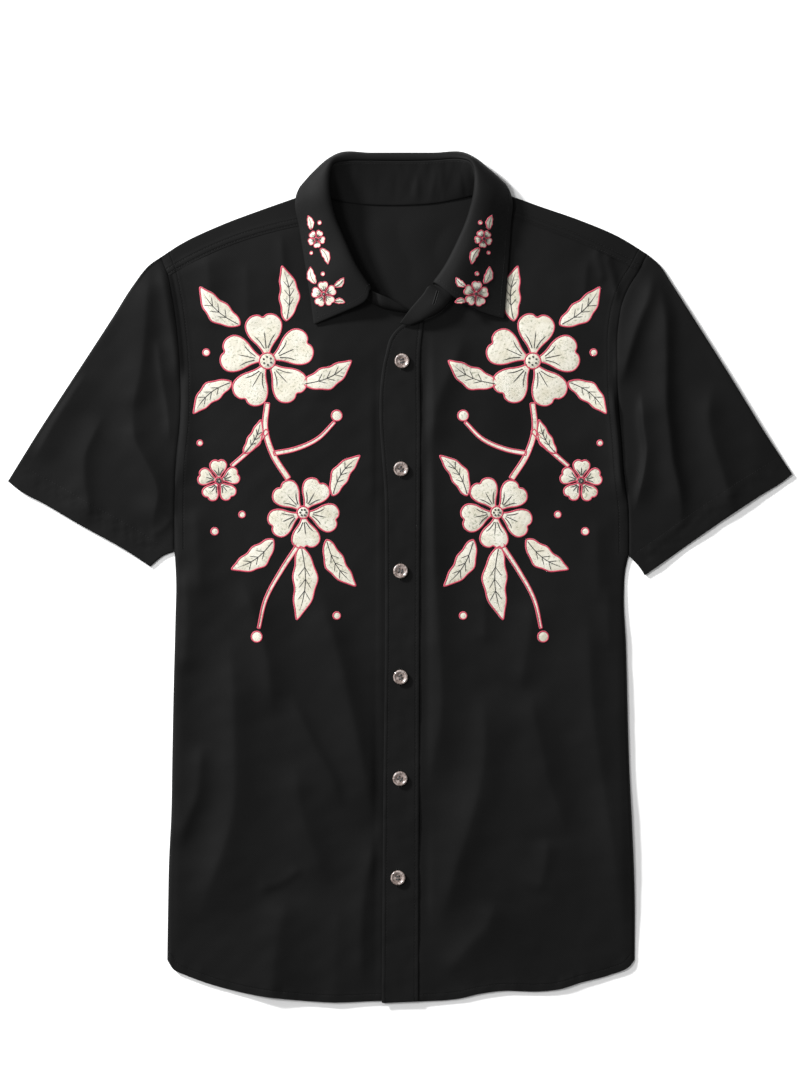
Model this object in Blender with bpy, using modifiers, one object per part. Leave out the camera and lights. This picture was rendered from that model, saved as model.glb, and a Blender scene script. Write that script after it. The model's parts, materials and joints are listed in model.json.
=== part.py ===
"""A short-sleeved western-style button shirt, buttoned and laid flat on its back, face up.

X runs across the shirt from the wearer's right side (-X) to the left side (+X), Y runs from the hem
to the collar, and Z is up from the surface that the shirt lies on. Right and left are the wearer's.
The origin is under the middle of the whole shirt. Every table is in millimetres, and the meshes are
built in metres.

The back, the back half of the yoke and the back halves of the sleeves lie flat. The fronts lie on them
with the shirt's largest folds, their sides rolled down to the surface. The yoke wraps over both
shoulders, each sleeve is a flattened tube, and the collar stands round the open neck: it leans in over
the fronts, and at the back it is tipped away from the neck with the leaf folded beneath it.
"""

import math

import bmesh
import bpy
import numpy as np
from mathutils import Vector

MM = 0.001

# ---- driving sizes ---------------------------------------------------------------------------------
CLOTH = 1.2            # wall of the shirt cloth
COLLAR_WALL = 1.6      # two layers and interfacing
BAND_WALL = 1.8        # folded buttonhole band
GAP = 0.3              # between pieces that are sewn together
JOINT_GAP = 0.8        # between the stand and the leaf, whose walls curve at their joint
FRONT_LEVEL = 2.4      # middle of the fronts' wall where they lie flat on the back
LOWEST_TOP = 2.15      # the upper cloth never lies lower than this over the back
SIDE_ROLL = 4.0        # how far in from its edge the front starts to roll down to the surface
HEM_CORNER = 7.5       # length of the hem that the rolled side takes up
BACK_INSET = 2.6       # the back lies this far inside the rolled sides
BACK_HEM_INSET = 3.0   # this far inside the front hem
BACK_ARM_INSET = 0.9   # and this far inside the armholes
LAP_RISE = 1.3         # the left front climbs this much to meet the band
LAP_REACH = 14.0       # over this distance
UNDER_LAP = 15.0       # the right front's edge under the band, from the middle
ARM_ROLL = 0.5         # share of the roll that is left where the front lies over the lower armhole
ARM_ROLL_FROM = 190.0  # y where that roll starts
ARM_ROLL_FULL = 120.0  # and where it has grown to its share
# the roll's section, step by step: shares of the way out, and of the way down to the surface
ROLL_SECTION = [(0.5, 0.134), (0.866, 0.5), (1.0, 0.85), (1.0, 1.0)]

# ---- cutting lines, from the hem up or from the shoulder out ----------------------------------------
# x, y
SIDE = {
    "right": [(-221.3, -363), (-220.6, -315), (-219.6, -268), (-217.5, -225), (-216.6, -173),
              (-215.4, -110), (-213.6, -40), (-212.9, -5), (-214.3, 24.5)],
    "left": [(223.2, -363), (223.2, -300), (221.0, -240), (218.3, -185), (216.6, -130),
             (215.0, -65), (213.0, -15), (214.2, 6), (217.3, 21)],
}
ARMHOLE = {
    "right": [(-214.3, 24.5), (-214.3, 74), (-212.8, 112), (-209.0, 150), (-209.0, 197),
              (-211.8, 235), (-216.1, 266), (-220.4, 286.7), (-227.2, 305.2)],
    "left": [(217.3, 21), (216.6, 66), (213.1, 96), (210.5, 131), (207.1, 169), (206.1, 205),
             (207.1, 240), (212.0, 264), (218.5, 279), (226.1, 291.4), (234.6, 308)],
}
SHOULDER = {           # the fold of the yoke, from the armhole to the neck
    "right": [(-227.2, 305.2), (-209, 317), (-171, 335), (-133, 349.4), (-100.7, 360.8), (-86.5, 366)],
    "left": [(234.6, 308), (209, 323.7), (171, 340), (133, 353.2), (109.2, 361.7), (92.1, 367.5)],
}
YOKE_SEAM = {          # front seam of the yoke, from the armhole to the neck
    "right": [(-220.4, 286.7), (-190, 303.3), (-152, 319.4), (-123.5, 328), (-86.5, 336.5)],
    "left": [(226.1, 291.4), (209, 300.4), (171, 318), (136.8, 331.3), (106.4, 342.2), (92.1, 345.6)],
}
NECKLINE = {           # from the yoke seam to the middle
    "right": [(-86.5, 336.5), (-83.6, 325.6), (-74.1, 306.6), (-59.8, 288.6), (-45.6, 275.3),
              (-31.3, 264.8), (-21.8, 257.8), (0.9, 252.8), (UNDER_LAP, 250.6)],
    "left": [(92.1, 345.6), (88.5, 325.6), (78, 303.8), (62.7, 283), (48.2, 262.9), (38.9, 252),
             (31.3, 247.7), (22.8, 245)],
}
HEM = {                # from the side to the middle
    "right": [(-221.3, -363), (-214.7, -372.6), (-204.2, -377.4), (-177.7, -386.9), (-138.7, -396.4),
              (-100.7, -401.1), (-65.5, -403.5), (-18.1, -402.1), (UNDER_LAP, -402.1)],
    "left": [(223.2, -363), (218.5, -369), (199.5, -377.4), (171, -385), (152, -391), (133, -393.2),
             (95, -392.8), (76, -395.4), (57, -399.8), (17.8, -402.6)],
}
BAND_INNER = [(22.8, 245), (20.2, 221), (19.9, 149), (19, -21), (17.8, -402.6)]
BAND_FREE = [(8.5, 244.4), (-0.9, 238.2), (-9.5, 228), (-14.2, 211.6), (-14.4, 60), (-14.2, -21),
             (-16.1, -211), (-17.6, -404.2)]
BACK_NECK = [(-86.5, 363.6), (-67.1, 359.1), (-44.8, 354.6), (1.2, 353), (38, 355.6), (67.2, 361.5),
             (92.1, 365.2)]
BACK_SEAM = 250.0      # y of the seam between the yoke and the back
LAP_EDGE = [(UNDER_LAP, 250.6), (UNDER_LAP, 0), (UNDER_LAP, -402.1)]

OVERARM = {            # fold of the sleeve, from the shoulder to the hem
    "right": [(-227.2, 305.2), (-237.5, 298.1), (-253.6, 278.1), (-271.7, 249.6), (-308.8, 192.6),
              (-345.8, 135.6), (-372.9, 91.9)],
    "left": [(234.6, 308), (246, 298.1), (259.3, 278.1), (277.4, 249.6), (313.5, 192.6),
             (348.6, 135.6), (373, 98.6)],
}
UNDERARM = {           # from the body to the hem
    "right": [(-214.3, 24.5), (-224.2, 20.7), (-237, 10.4)],
    "left": [(217.3, 21), (228, 9), (232.4, 2.1)],
}
SLEEVE_HEM = {         # from the overarm fold to the underarm
    "right": [(-372.9, 91.9), (-361, 82.4), (-338.2, 70.1), (-304, 50.1), (-258.4, 24.5), (-237, 10.4)],
    "left": [(373, 98.6), (364.8, 91.9), (342, 77.7), (296.4, 47.3), (250.8, 15), (232.4, 2.1)],
}

# ---- folds of the upper cloth ------------------------------------------------------------------------
# A fold's crest runs through its points. Looking down a fold that runs from the collar to the hem, west
# and east are its half widths to -X and +X; on any other, to the right and the left of its run.
# (x, y) of the crest's points, height, west, east
FRONT_FOLDS = [
    ([(-163, -45), (-159, -92), (-157, -154), (-158, -216), (-164, -247), (-173, -273), (-184, -304),
      (-193, -335)], 6.0, 17, 24),
    ([(-152, 3), (-141, -27), (-133, -51), (-126, -77), (-123, -107), (-119, -135)], 4.0, 13, 15),
    ([(-78, -7), (-68, -42), (-59, -71), (-48, -119), (-38, -164), (-30, -211),
      (-28, -240)], 5.0, 20, 13),
    ([(-106, -109), (-92, -137), (-80, -162), (-66, -188), (-54, -223)], 2.6, 16, 6),
    ([(-99, -173), (-96, -211), (-89, -240), (-79, -266), (-67, -295)], 3.0, 18, 13),
    ([(-189, -154), (-190, -183), (-194, -211), (-203, -232), (-210, -261)], 3.4, 13, 9),
    ([(-204, 12), (-202, -21), (-202, -59), (-206, -97)], 3.0, 10, 18),
    ([(-105, -297), (-112, -325), (-116, -344), (-119, -368), (-122, -430)], 4.2, 22, 20),
    ([(-22, -240), (-25, -259), (-31, -283), (-36, -322), (-37, -363), (-35, -394)], 3.4, 15, 9),
    ([(-137, -297), (-125, -294), (-110, -288), (-98, -279), (-91, -274)], 1.6, 4, 9),
    ([(-207, 10), (-213, -380)], 2.2, 16, 12),
    ([(-58, -299), (-61, -368), (-62, -430)], 1.8, 18, 14),
    ([(63, 237), (54, 210), (47, 194), (38, 173), (32, 150), (29, 121)], 4.0, 20, 13),
    ([(29, 150), (30, 83), (32, 45), (34, 2), (36, -40), (39, -97), (39, -128), (36, -154), (31, -179),
      (24, -206)], 3.6, 11, 14),
    ([(77, -102), (80, -128), (81, -162), (75, -204), (64, -243), (55, -270), (48, -296), (41, -318),
      (33, -342)], 5.2, 18, 21),
    ([(124, -102), (128, -135), (135, -164), (142, -197), (152, -223), (158, -251)], 4.0, 22, 15),
    ([(141, -247), (138, -276), (130, -302)], 2.0, 13, 8),
    ([(175, -12), (180, -64), (182, -116), (188, -164), (194, -202), (200, -240), (205, -278),
      (207, -335)], 4.6, 18, 20),
    ([(93, -304), (82, -333), (71, -345), (61, -356), (43, -380)], 3.5, 13, 20),
    ([(124, -21), (124, -50), (119, -78), (114, -109)], 2.2, 12, 12),
    ([(81, -12), (80, -64)], 1.4, 10, 7),
    ([(207, 10), (213, -380)], 2.2, 12, 16),
    ([(197, -7), (199, -73)], 1.6, 11, 9),
    ([(-183, 311), (-181, 278), (-179, 235)], 2.2, 15, 12),
    ([(-146, 304), (-144, 231)], 1.1, 8, 10),
    ([(-113, 326), (-110, 283)], 1.2, 6, 5),
    ([(-200, 207), (-202, 169), (-204, 131), (-205, 83)], 2.8, 8, 12),
    ([(-194, 69), (-192, 31), (-190, -21)], 2.4, 16, 12),
    ([(-74, 226), (-77, 164)], 1.2, 14, 12),
    ([(-26, 174), (-25, 64)], 1.0, 12, 8),
    ([(185, 315), (189, 300), (194, 279)], 1.6, 5, 4),
    ([(194, 311), (200, 294), (204, 278), (207, 261)], 2.4, 5, 4),
    ([(178, 304), (175, 260)], 1.3, 8, 5),
    ([(187, 60), (189, -26)], 2.0, 14, 12),
    ([(206, 183), (211, 145), (215, 107), (217, 69)], 5.5, 14, 6),
    ([(60, 240), (120, 60)], 1.8, 50, 50),
    ([(-60, 240), (-120, 60)], 1.8, 50, 50),
]
SLEEVE_FOLDS = [
    ([(-229, 304), (-222, 273), (-218, 245), (-213, 214), (-211, 178)], 3.6, 8, 6),
    ([(-238, 300), (-240, 264), (-242, 240), (-244, 216), (-247, 193), (-253, 165),
      (-254, 140)], 5.5, 24, 13),
    ([(-254, 164), (-251, 129), (-242, 111), (-234, 95), (-230, 79), (-233, 62),
      (-236, 41)], 4.5, 13, 12),
    ([(-231, 231), (-226, 188), (-221, 159), (-218, 126)], 2.0, 4, 9),
    ([(-280, 159), (-291, 136), (-299, 117), (-300, 98), (-297, 74), (-296, 45)], 3.6, 16, 9),
    ([(-294, 199), (-323, 155), (-349, 109)], 2.6, 6, 20),
    ([(-246, 283), (-366, 96)], 1.8, 18, 18),
    ([(-238, 40), (-226, 46), (-216, 58)], 1.2, 5, 6),
    ([(242, 294), (236, 264), (228, 245), (221, 224), (216, 207), (209, 180)], 4.5, 10, 7),
    ([(242, 294), (248, 271), (252, 250), (253, 221), (253, 193), (253, 164), (256, 136), (259, 110),
      (265, 83), (267, 60), (263, 36)], 7.0, 15, 8),
    ([(300, 188), (295, 171), (294, 145), (300, 121), (307, 98), (314, 74), (321, 53)], 4.5, 13, 12),
    ([(229, 180), (231, 145), (234, 121), (232, 102), (228, 83), (223, 62)], 4.5, 4, 12),
    ([(252, 284), (366, 100)], 1.8, 18, 18),
]
FOLD_SHARPNESS = 1.4   # 2 gives a round crest, and 1 a pinched one
FOLD_ENDS = 0.22       # share of a fold's length over which each of its ends rises
FOLD_REACH = 4.0       # half widths past which a fold adds nothing
FOLD_STEP = 4.0        # between the points of a crest that are tried
BAND_MIDDLE = 2.0      # x; the band is stiffer than the cloth, so no fold runs in under it
CALM_HALF = 21.0       # half the width that stays flat
CALM_FADE = 9.0        # over this distance the folds rise to their height

# ---- the collar: sections from the neck seam over the roll to the leaf's edge ------------------------
# Each section is a control polygon: n at the neck seam, s inside the stand, t over the roll, b outside
# the roll, d under it, and e at the leaf's edge. stand is the height of the stand along it.
# n: x y z, s: x y z, t: x y z, b: x y z, d: x y z, e: x y z, stand
COLLAR = [
    ((-30.4, 263.4, 4.2), (-25, 274, 13), (-29, 274, 17),
     (-30, 261.5, 15.5), (-57, 250.5, 8.8), (-82, 240, 4.6), 12),
    ((-45.6, 275.3, 4.2), (-39, 295, 15), (-43, 295, 20),
     (-54, 287, 18), (-72, 274, 9.8), (-85.5, 266, 4.8), 20.2),
    ((-65.5, 299, 4.4), (-51, 321, 16), (-55, 321, 21),
     (-67, 314, 18), (-84, 305, 9.8), (-90.5, 299, 5), 26.6),
    ((-83.6, 330.4, 4.4), (-61, 346, 17), (-65, 346, 23),
     (-79, 341, 19.5), (-91, 336, 9.5), (-96, 333.5, 5.4), 28.4),
    ((-86.9, 353.2, 4.8), (-65, 367, 19), (-69, 367, 25),
     (-84, 365, 20.5), (-96, 361, 10), (-99.5, 355.5, 7), 26.4),
    ((-79.8, 361.7, 3.6), (-65, 380, 19), (-69, 384, 24),
     (-85, 379, 16), (-95, 371, 7.2), (-96, 367.5, 4), 28),
    ((-66.5, 359.9, 2), (-62, 391, 18), (-65, 396, 22),
     (-78, 390, 10), (-83, 381, 1.6), (-79, 374, 0.8), 36),
    ((-51.3, 356.4, 1.6), (-50, 394, 14), (-52, 401, 17),
     (-59, 404, 6), (-60, 397, 0.8), (-57, 367, 0.8), 41),
    ((-28.5, 354, 1.5), (-28, 393, 10.5), (-28, 401, 14),
     (-29, 404, 5), (-29, 399, 0.8), (-27, 363, 0.8), 43),
    ((1.9, 353.6, 1.5), (2, 393, 9.5), (2, 401.2, 13), (2, 404, 5), (2, 399, 0.8), (2, 363, 0.8), 43),
    ((32.3, 355.4, 1.5), (32, 393, 10.5), (32, 401, 14),
     (33, 404, 5), (33, 399, 0.8), (31, 364, 0.8), 42),
    ((56.1, 359.6, 1.6), (54, 394, 14), (56, 401, 17), (63, 404, 6), (64, 397, 0.8), (61, 368, 0.8), 40),
    ((71.3, 363, 2), (66, 391, 18), (69, 396, 22), (84, 389, 10), (89, 380, 1.6), (85, 374, 0.8), 35),
    ((84.6, 364.6, 3.6), (69, 380, 19), (73, 384, 24),
     (90, 380, 16), (101, 373, 7.2), (102, 369, 4), 28),
    ((91.2, 357.9, 4.8), (68, 368, 19), (73, 368, 25),
     (89, 365, 21), (102, 362, 10), (106.5, 358, 7), 26.6),
    ((88.4, 334.2, 4.6), (63, 346, 17), (68, 346, 22.5),
     (83, 342, 20.5), (98, 338, 10), (105.5, 336, 5.4), 28.6),
    ((71.3, 302.8, 4.6), (53, 321, 16), (58, 321, 20),
     (70, 315, 21), (90, 307, 10.5), (103.4, 302, 5), 24),
    ((56.1, 279.1, 4.8), (40, 296, 15), (45, 296, 18.5),
     (57, 289, 21), (82, 277, 10.5), (101.3, 272, 4.8), 21.4),
    ((47.5, 262.9, 5.2), (28.5, 280, 13.5), (33, 280, 17),
     (48, 267, 20), (72, 253, 10), (99.3, 245.4, 4.6), 22.2),
]
# The stand's two ends, past the leaf: foot x y z, shoulder x y z, top x y z
STAND_END_RIGHT = [
    ((10, 251.2, 4.0), (10, 252.3, 5.2), (10, 253.4, 6)),
    ((2.9, 252.3, 4.0), (2.7, 253.8, 7.5), (1.9, 258.2, 9)),
    ((-7.6, 254.1, 4.0), (-7.7, 255.8, 9.5), (-8.5, 264.3, 11.5)),
    ((-19, 256.9, 4.0), (-19, 258.8, 11), (-18.5, 268.6, 13)),
]
STAND_END_LEFT = [
    ((45.5, 260.5, 5.3), (48.5, 264, 14), (27.8, 277, 14.5)),
    ((40.5, 254.5, 5.6), (43.5, 259, 15.5), (22.5, 270, 14)),
    ((30.5, 248.2, 6.6), (32, 251, 14.5), (15.2, 261.5, 13)),
    ((20.5, 245.4, 7.0), (21, 243.3, 12), (8.5, 253.5, 11.5)),
    ((12.5, 243, 7.2), (12.5, 240.8, 8.8), (3, 247.8, 9.5)),
]

# ---- buttons -----------------------------------------------------------------------------------------
# x, y, turn in degrees, from the collar to the hem
BUTTONS = [(1.9, 205.9, 12), (0.9, 103.3, 40), (0.5, 6.4, 75), (0.5, -94.3, 20), (0, -190.7, 55),
           (-1.9, -284.8, 5)]
# r, z: half of the button's section, from the middle of its top to the middle of its back
BUTTON_PROFILE = [(0, 1.5), (3.6, 1.5), (4.7, 2.6), (6.2, 2.6), (7.0, 1.4), (5.6, 0), (0, 0)]
BUTTON_STEPS = 16
THREAD_HOLE = 0.95     # radius
THREAD_SPREAD = 1.45   # from the middle to a hole, along x and along y

# ---- how finely the solids are cut up ----------------------------------------------------------------
FRONT_COLUMNS = 19
SIDE_ROWS = 12
ARMHOLE_ROWS = 13
NECK_ROWS = 5
YOKE_COLUMNS = 8
NECK_COLUMNS = 12
SLEEVE_STATIONS = 10
SLEEVE_ACROSS = 60
SLEEVE_BACK_STEPS = 9
BAND_ROWS = 24
BAND_COLUMNS = 4
YOKE_ROWS = 4
BACK_ARM_ROWS = 10
COLLAR_COLUMNS = 38
END_COLUMNS = 7        # along each end of the stand
CORNER_CUTS = 4        # times that a collar section's corners are cut
# shares of the way up the stand and out along the leaf, with a short step on each side of their joint
STAND_SPREAD = np.array([0.0, 0.32, 0.64, 0.96, 1.0])
LEAF_SPREAD = np.array([0.0, 0.03, 0.1, 0.17, 0.25, 0.34, 0.45, 0.6, 0.79, 1.0])
FINE = 30              # points read from a smooth line between two of its own points

BLACK_CLOTH = (0.012, 0.012, 0.013)
COLOURS = {
    "cloth": (BLACK_CLOTH, 0.85),
    "collar": ((0.016, 0.016, 0.017), 0.82),
    "button": ((0.25, 0.21, 0.19), 0.35),
}


# ---- smooth lines and patches ------------------------------------------------------------------------
def run_lengths(path):
    """Distance along the path at each of its points."""
    steps = np.linalg.norm(np.diff(path, axis=0), axis=1)
    return np.concatenate([[0.0], np.cumsum(steps)])


def at_lengths(path, wanted):
    """Points of the path at the wanted distances along it."""
    reach = run_lengths(path)
    return np.stack([np.interp(wanted, reach, path[:, k]) for k in range(path.shape[1])], axis=1)


def smooth_line(points):
    """A smooth line through the points, finely divided."""
    p = np.array(points, float)
    knots = run_lengths(p)
    slope = np.gradient(p, knots, axis=0)
    fine = np.linspace(0.0, knots[-1], FINE * (len(p) - 1) + 1)
    k = np.clip(np.searchsorted(knots, fine, side="right") - 1, 0, len(p) - 2)
    h = (knots[k + 1] - knots[k])[:, None]
    t = (fine - knots[k])[:, None] / h
    return ((2 * t ** 3 - 3 * t ** 2 + 1) * p[k] + (t ** 3 - 2 * t ** 2 + t) * h * slope[k]
            + (3 * t ** 2 - 2 * t ** 3) * p[k + 1] + (t ** 3 - t ** 2) * h * slope[k + 1])


def spaced(points, steps):
    """The smooth line through the points, as steps + 1 points evenly spaced along it."""
    line = smooth_line(points)
    return at_lengths(line, np.linspace(0.0, run_lengths(line)[-1], steps + 1))


def cut_corners(polygon, times):
    """The smooth curve that a control polygon gives when its corners are cut again and again."""
    p = np.array(polygon, float)
    for _ in range(times):
        near = 0.75 * p[:-1] + 0.25 * p[1:]
        far = 0.25 * p[:-1] + 0.75 * p[1:]
        middle = np.stack([near, far], axis=1).reshape(-1, p.shape[1])
        p = np.vstack([p[:1], middle, p[-1:]])
    return p


def patch(bottom, top, left, right):
    """A grid of points filled in between four edges that share their corners."""
    u = np.linspace(0.0, 1.0, len(bottom))[None, :, None]
    v = np.linspace(0.0, 1.0, len(left))[:, None, None]
    between_rows = (1 - v) * bottom[None] + v * top[None]
    between_columns = (1 - u) * left[:, None] + u * right[:, None]
    corners = ((1 - u) * (1 - v) * bottom[0] + u * (1 - v) * bottom[-1]
               + (1 - u) * v * top[0] + u * v * top[-1])
    return between_rows + between_columns - corners


def smooth_step(low, high, value):
    """0 below low, 1 above high, and a smooth rise between."""
    t = np.clip((value - low) / (high - low), 0.0, 1.0)
    return t * t * (3 - 2 * t)


def edge_x(points, y):
    """x of a cutting line that never turns back in y, at each y."""
    line = smooth_line(points)
    order = np.argsort(line[:, 1])
    return np.interp(y, line[order, 1], line[order, 0])


# ---- heights of the upper cloth ----------------------------------------------------------------------
def fold_lift(plan, folds):
    """Height that the folds add at each point of the plan."""
    spots = plan.reshape(-1, 2)
    lift = np.zeros(len(spots))
    for points, height, west, east in folds:
        line = smooth_line(points)
        length = run_lengths(line)[-1]
        reach = np.linspace(0.0, length, int(length / FOLD_STEP) + 2)
        line = at_lengths(line, reach)
        ahead = np.gradient(line, axis=0)
        ahead /= np.linalg.norm(ahead, axis=1, keepdims=True)
        margin = FOLD_REACH * max(west, east)
        close = np.flatnonzero(((spots > line.min(0) - margin) & (spots < line.max(0) + margin)).all(1))
        for part in np.array_split(close, len(close) // 4000 + 1):
            nearest = ((spots[part][:, None] - line[None]) ** 2).sum(-1).argmin(1)
            rest, way = spots[part] - line[nearest], ahead[nearest]
            aside = way[:, 0] * rest[:, 1] - way[:, 1] * rest[:, 0]
            share = (reach[nearest] + (rest * way).sum(1)) / length
            ends = smooth_step(0.0, FOLD_ENDS, share) * smooth_step(1.0, 1 - FOLD_ENDS, share)
            width = np.where(aside < 0, west, east)
            lift[part] += height * ends * np.exp(-(np.abs(aside) / width) ** FOLD_SHARPNESS)
    return lift.reshape(plan.shape[:-1])


def front_height(plan):
    beside_band = smooth_step(CALM_HALF, CALM_HALF + CALM_FADE, np.abs(plan[..., 0] - BAND_MIDDLE))
    return np.maximum(FRONT_LEVEL + fold_lift(plan, FRONT_FOLDS) * beside_band, LOWEST_TOP)


def sleeve_height(plan):
    return np.maximum(FRONT_LEVEL + fold_lift(plan, SLEEVE_FOLDS), LOWEST_TOP)


def armhole_levels(side):
    """y of the rows that the front and the sleeve share along the armhole, from the underarm up."""
    return np.linspace(SIDE[side][-1][1], YOKE_SEAM[side][0][1], ARMHOLE_ROWS + 1)


def raised(plan, height):
    """The plan's points with their heights."""
    return np.concatenate([plan, height[..., None]], axis=-1)


# ---- pieces ------------------------------------------------------------------------------------------
def front_panel(side, middle):
    """One front: a patch from the rolled side to the middle, and the strip that rolls down."""
    inward = 1 if side == "right" else -1
    under_y = SIDE[side][-1][1]
    hem = smooth_line(HEM[side])
    seam = smooth_line(YOKE_SEAM[side]) - (0, GAP / 2)
    side_y = np.linspace(SIDE[side][0][1], under_y, SIDE_ROWS + 1)
    arm_y = armhole_levels(side)[1:]
    outer_y = np.concatenate([side_y, arm_y])
    outer_x = np.concatenate([edge_x(SIDE[side], side_y), edge_x(ARMHOLE[side], arm_y)])
    outer = np.stack([outer_x, outer_y], axis=1)
    bottom = at_lengths(hem, np.linspace(HEM_CORNER, run_lengths(hem)[-1], FRONT_COLUMNS + 1))
    top = at_lengths(seam, np.linspace(SIDE_ROLL, run_lengths(seam)[-1], FRONT_COLUMNS + 1))
    inner = outer + (inward * SIDE_ROLL, 0)
    inner[0], inner[-1] = bottom[0], top[0]
    neck = spaced(NECKLINE[side], NECK_ROWS)
    middle_rows = len(outer) - 1 - NECK_ROWS
    middle_line = smooth_line(middle)[::-1]
    middle_line = at_lengths(middle_line, np.linspace(0, run_lengths(middle_line)[-1], middle_rows + 1))
    right = np.vstack([middle_line, neck[::-1][1:]])
    right[-1] = top[-1]
    bottom[-1] = right[0]
    plan = patch(bottom, top, inner, right)
    height = front_height(plan)
    if side == "left":
        height = height + LAP_RISE * np.exp(-(plan[..., 0] - BAND_INNER[1][0]) / LAP_REACH)
    panel = raised(plan, height)

    # how far each row of the strip is rolled: down to the surface at the side, part of the way where
    # the front lies over the lower armhole, and not at all above
    over_arm = ARM_ROLL * smooth_step(ARM_ROLL_FROM, ARM_ROLL_FULL, outer_y)
    rolled = np.where(outer_y < under_y - 1, 1.0, over_arm)
    foot = np.where(outer_y < under_y - 1, 0.0, sleeve_height(outer))
    foot[SIDE_ROWS - 1] = GAP
    strip = []
    for step, (along, down) in enumerate(ROLL_SECTION, 1):
        flat = step / len(ROLL_SECTION)
        reach = (1 - rolled) * flat + rolled * along
        drop = (1 - rolled) * flat + rolled * down
        edge_inset = GAP / 2 + rolled * CLOTH / 2
        edge = outer + np.stack([inward * edge_inset, np.zeros(len(outer))], axis=1)
        spot = inner + (edge - inner) * reach[:, None]
        level = panel[:, 0, 2] + (foot - panel[:, 0, 2]) * drop
        strip.append(raised(spot, level))
    return np.concatenate([np.stack(strip[::-1], axis=1), panel], axis=1)


def band_grid():
    """The buttonhole band, lying on the right front's lap."""
    inner = spaced(BAND_INNER, BAND_ROWS) - (GAP / 2, 0)
    free = spaced(BAND_FREE, BAND_ROWS)
    across = np.linspace(0.0, 1.0, BAND_COLUMNS + 1)[None, :, None]
    plan = (1 - across) * free[:, None] + across * inner[:, None]
    return raised(plan, front_height(plan) + (CLOTH + BAND_WALL) / 2 + GAP)


def yoke_columns(side, steps):
    """Where each column of a shoulder folds over, its direction, and its end at the front seam."""
    fold = spaced(SHOULDER[side], steps)
    seam = spaced(YOKE_SEAM[side], steps) + (0, GAP / 2)
    inward = 1 if side == "right" else -1
    fold[0] += (inward * GAP / 2, 0)
    seam[0] += (inward * GAP / 2, 0)
    down = seam - fold
    down /= np.linalg.norm(down, axis=1)[:, None]
    turn = (front_height(fold + down * SIDE_ROLL) - CLOTH / 2) / 2
    return fold, down, seam, turn


def yoke_grids():
    """The yoke: its back, flat, and the strip over each shoulder."""
    starts, grids = {}, []
    for side in ("right", "left"):
        fold, down, seam, turn = yoke_columns(side, YOKE_COLUMNS)
        centre = fold + down * (turn + CLOTH / 2)[:, None]
        rows = []
        for angle in np.radians([0, 45, 90, 135, 180]):
            spot = centre - down * (turn * math.sin(angle))[:, None]
            rows.append(raised(spot, CLOTH / 2 + turn * (1 - math.cos(angle))))
        for share in (0.5, 1.0):
            spot = centre + (seam - centre) * share
            rows.append(raised(spot, front_height(spot)))
        grids.append(np.stack(rows))
        starts[side] = centre
    neck = smooth_line(BACK_NECK)
    neck = at_lengths(neck, np.linspace(0, run_lengths(neck)[-1], NECK_COLUMNS + 1))
    top = np.vstack([starts["right"], neck[1:-1], starts["left"][::-1]])
    sides = {}
    for side in ("right", "left"):
        inward = 1 if side == "right" else -1
        end = top[0] if side == "right" else top[-1]
        y = np.linspace(BACK_SEAM + GAP / 2, end[1], YOKE_ROWS + 1)
        x = edge_x(ARMHOLE[side], y) + inward * BACK_ARM_INSET
        sides[side] = np.stack([x, y], axis=1)
        sides[side][-1] = end
    share = run_lengths(top) / run_lengths(top)[-1]
    bottom = sides["right"][0] + (sides["left"][0] - sides["right"][0]) * share[:, None]
    plan = patch(bottom, top, sides["right"], sides["left"])
    grids.append(raised(plan, np.full(plan.shape[:2], CLOTH / 2)))
    return grids


def back_outline():
    """The back's outline, inside the rolled sides and clear of the sleeves."""
    hem = np.vstack([smooth_line(HEM["right"])[::FINE], smooth_line(HEM["left"])[::-FINE]])
    hem = hem[np.abs(hem[:, 0]) < abs(SIDE["right"][0][0]) - 2 * BACK_INSET] + (0, BACK_HEM_INSET)
    edges = {}
    for side in ("right", "left"):
        inward = 1 if side == "right" else -1
        under_y = SIDE[side][-1][1]
        side_y = np.linspace(SIDE[side][0][1], under_y, SIDE_ROWS + 1)[:-1]
        side_x = edge_x(SIDE[side], side_y) + inward * BACK_INSET
        arm_y = np.linspace(under_y + 2 * SIDE_ROLL, BACK_SEAM - GAP / 2, BACK_ARM_ROWS + 1)
        arm_x = edge_x(ARMHOLE[side], arm_y) + inward * BACK_ARM_INSET
        edges[side] = np.stack([np.concatenate([side_x, arm_x]), np.concatenate([side_y, arm_y])], axis=1)
    return np.vstack([hem, edges["left"], edges["right"][::-1]])


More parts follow.
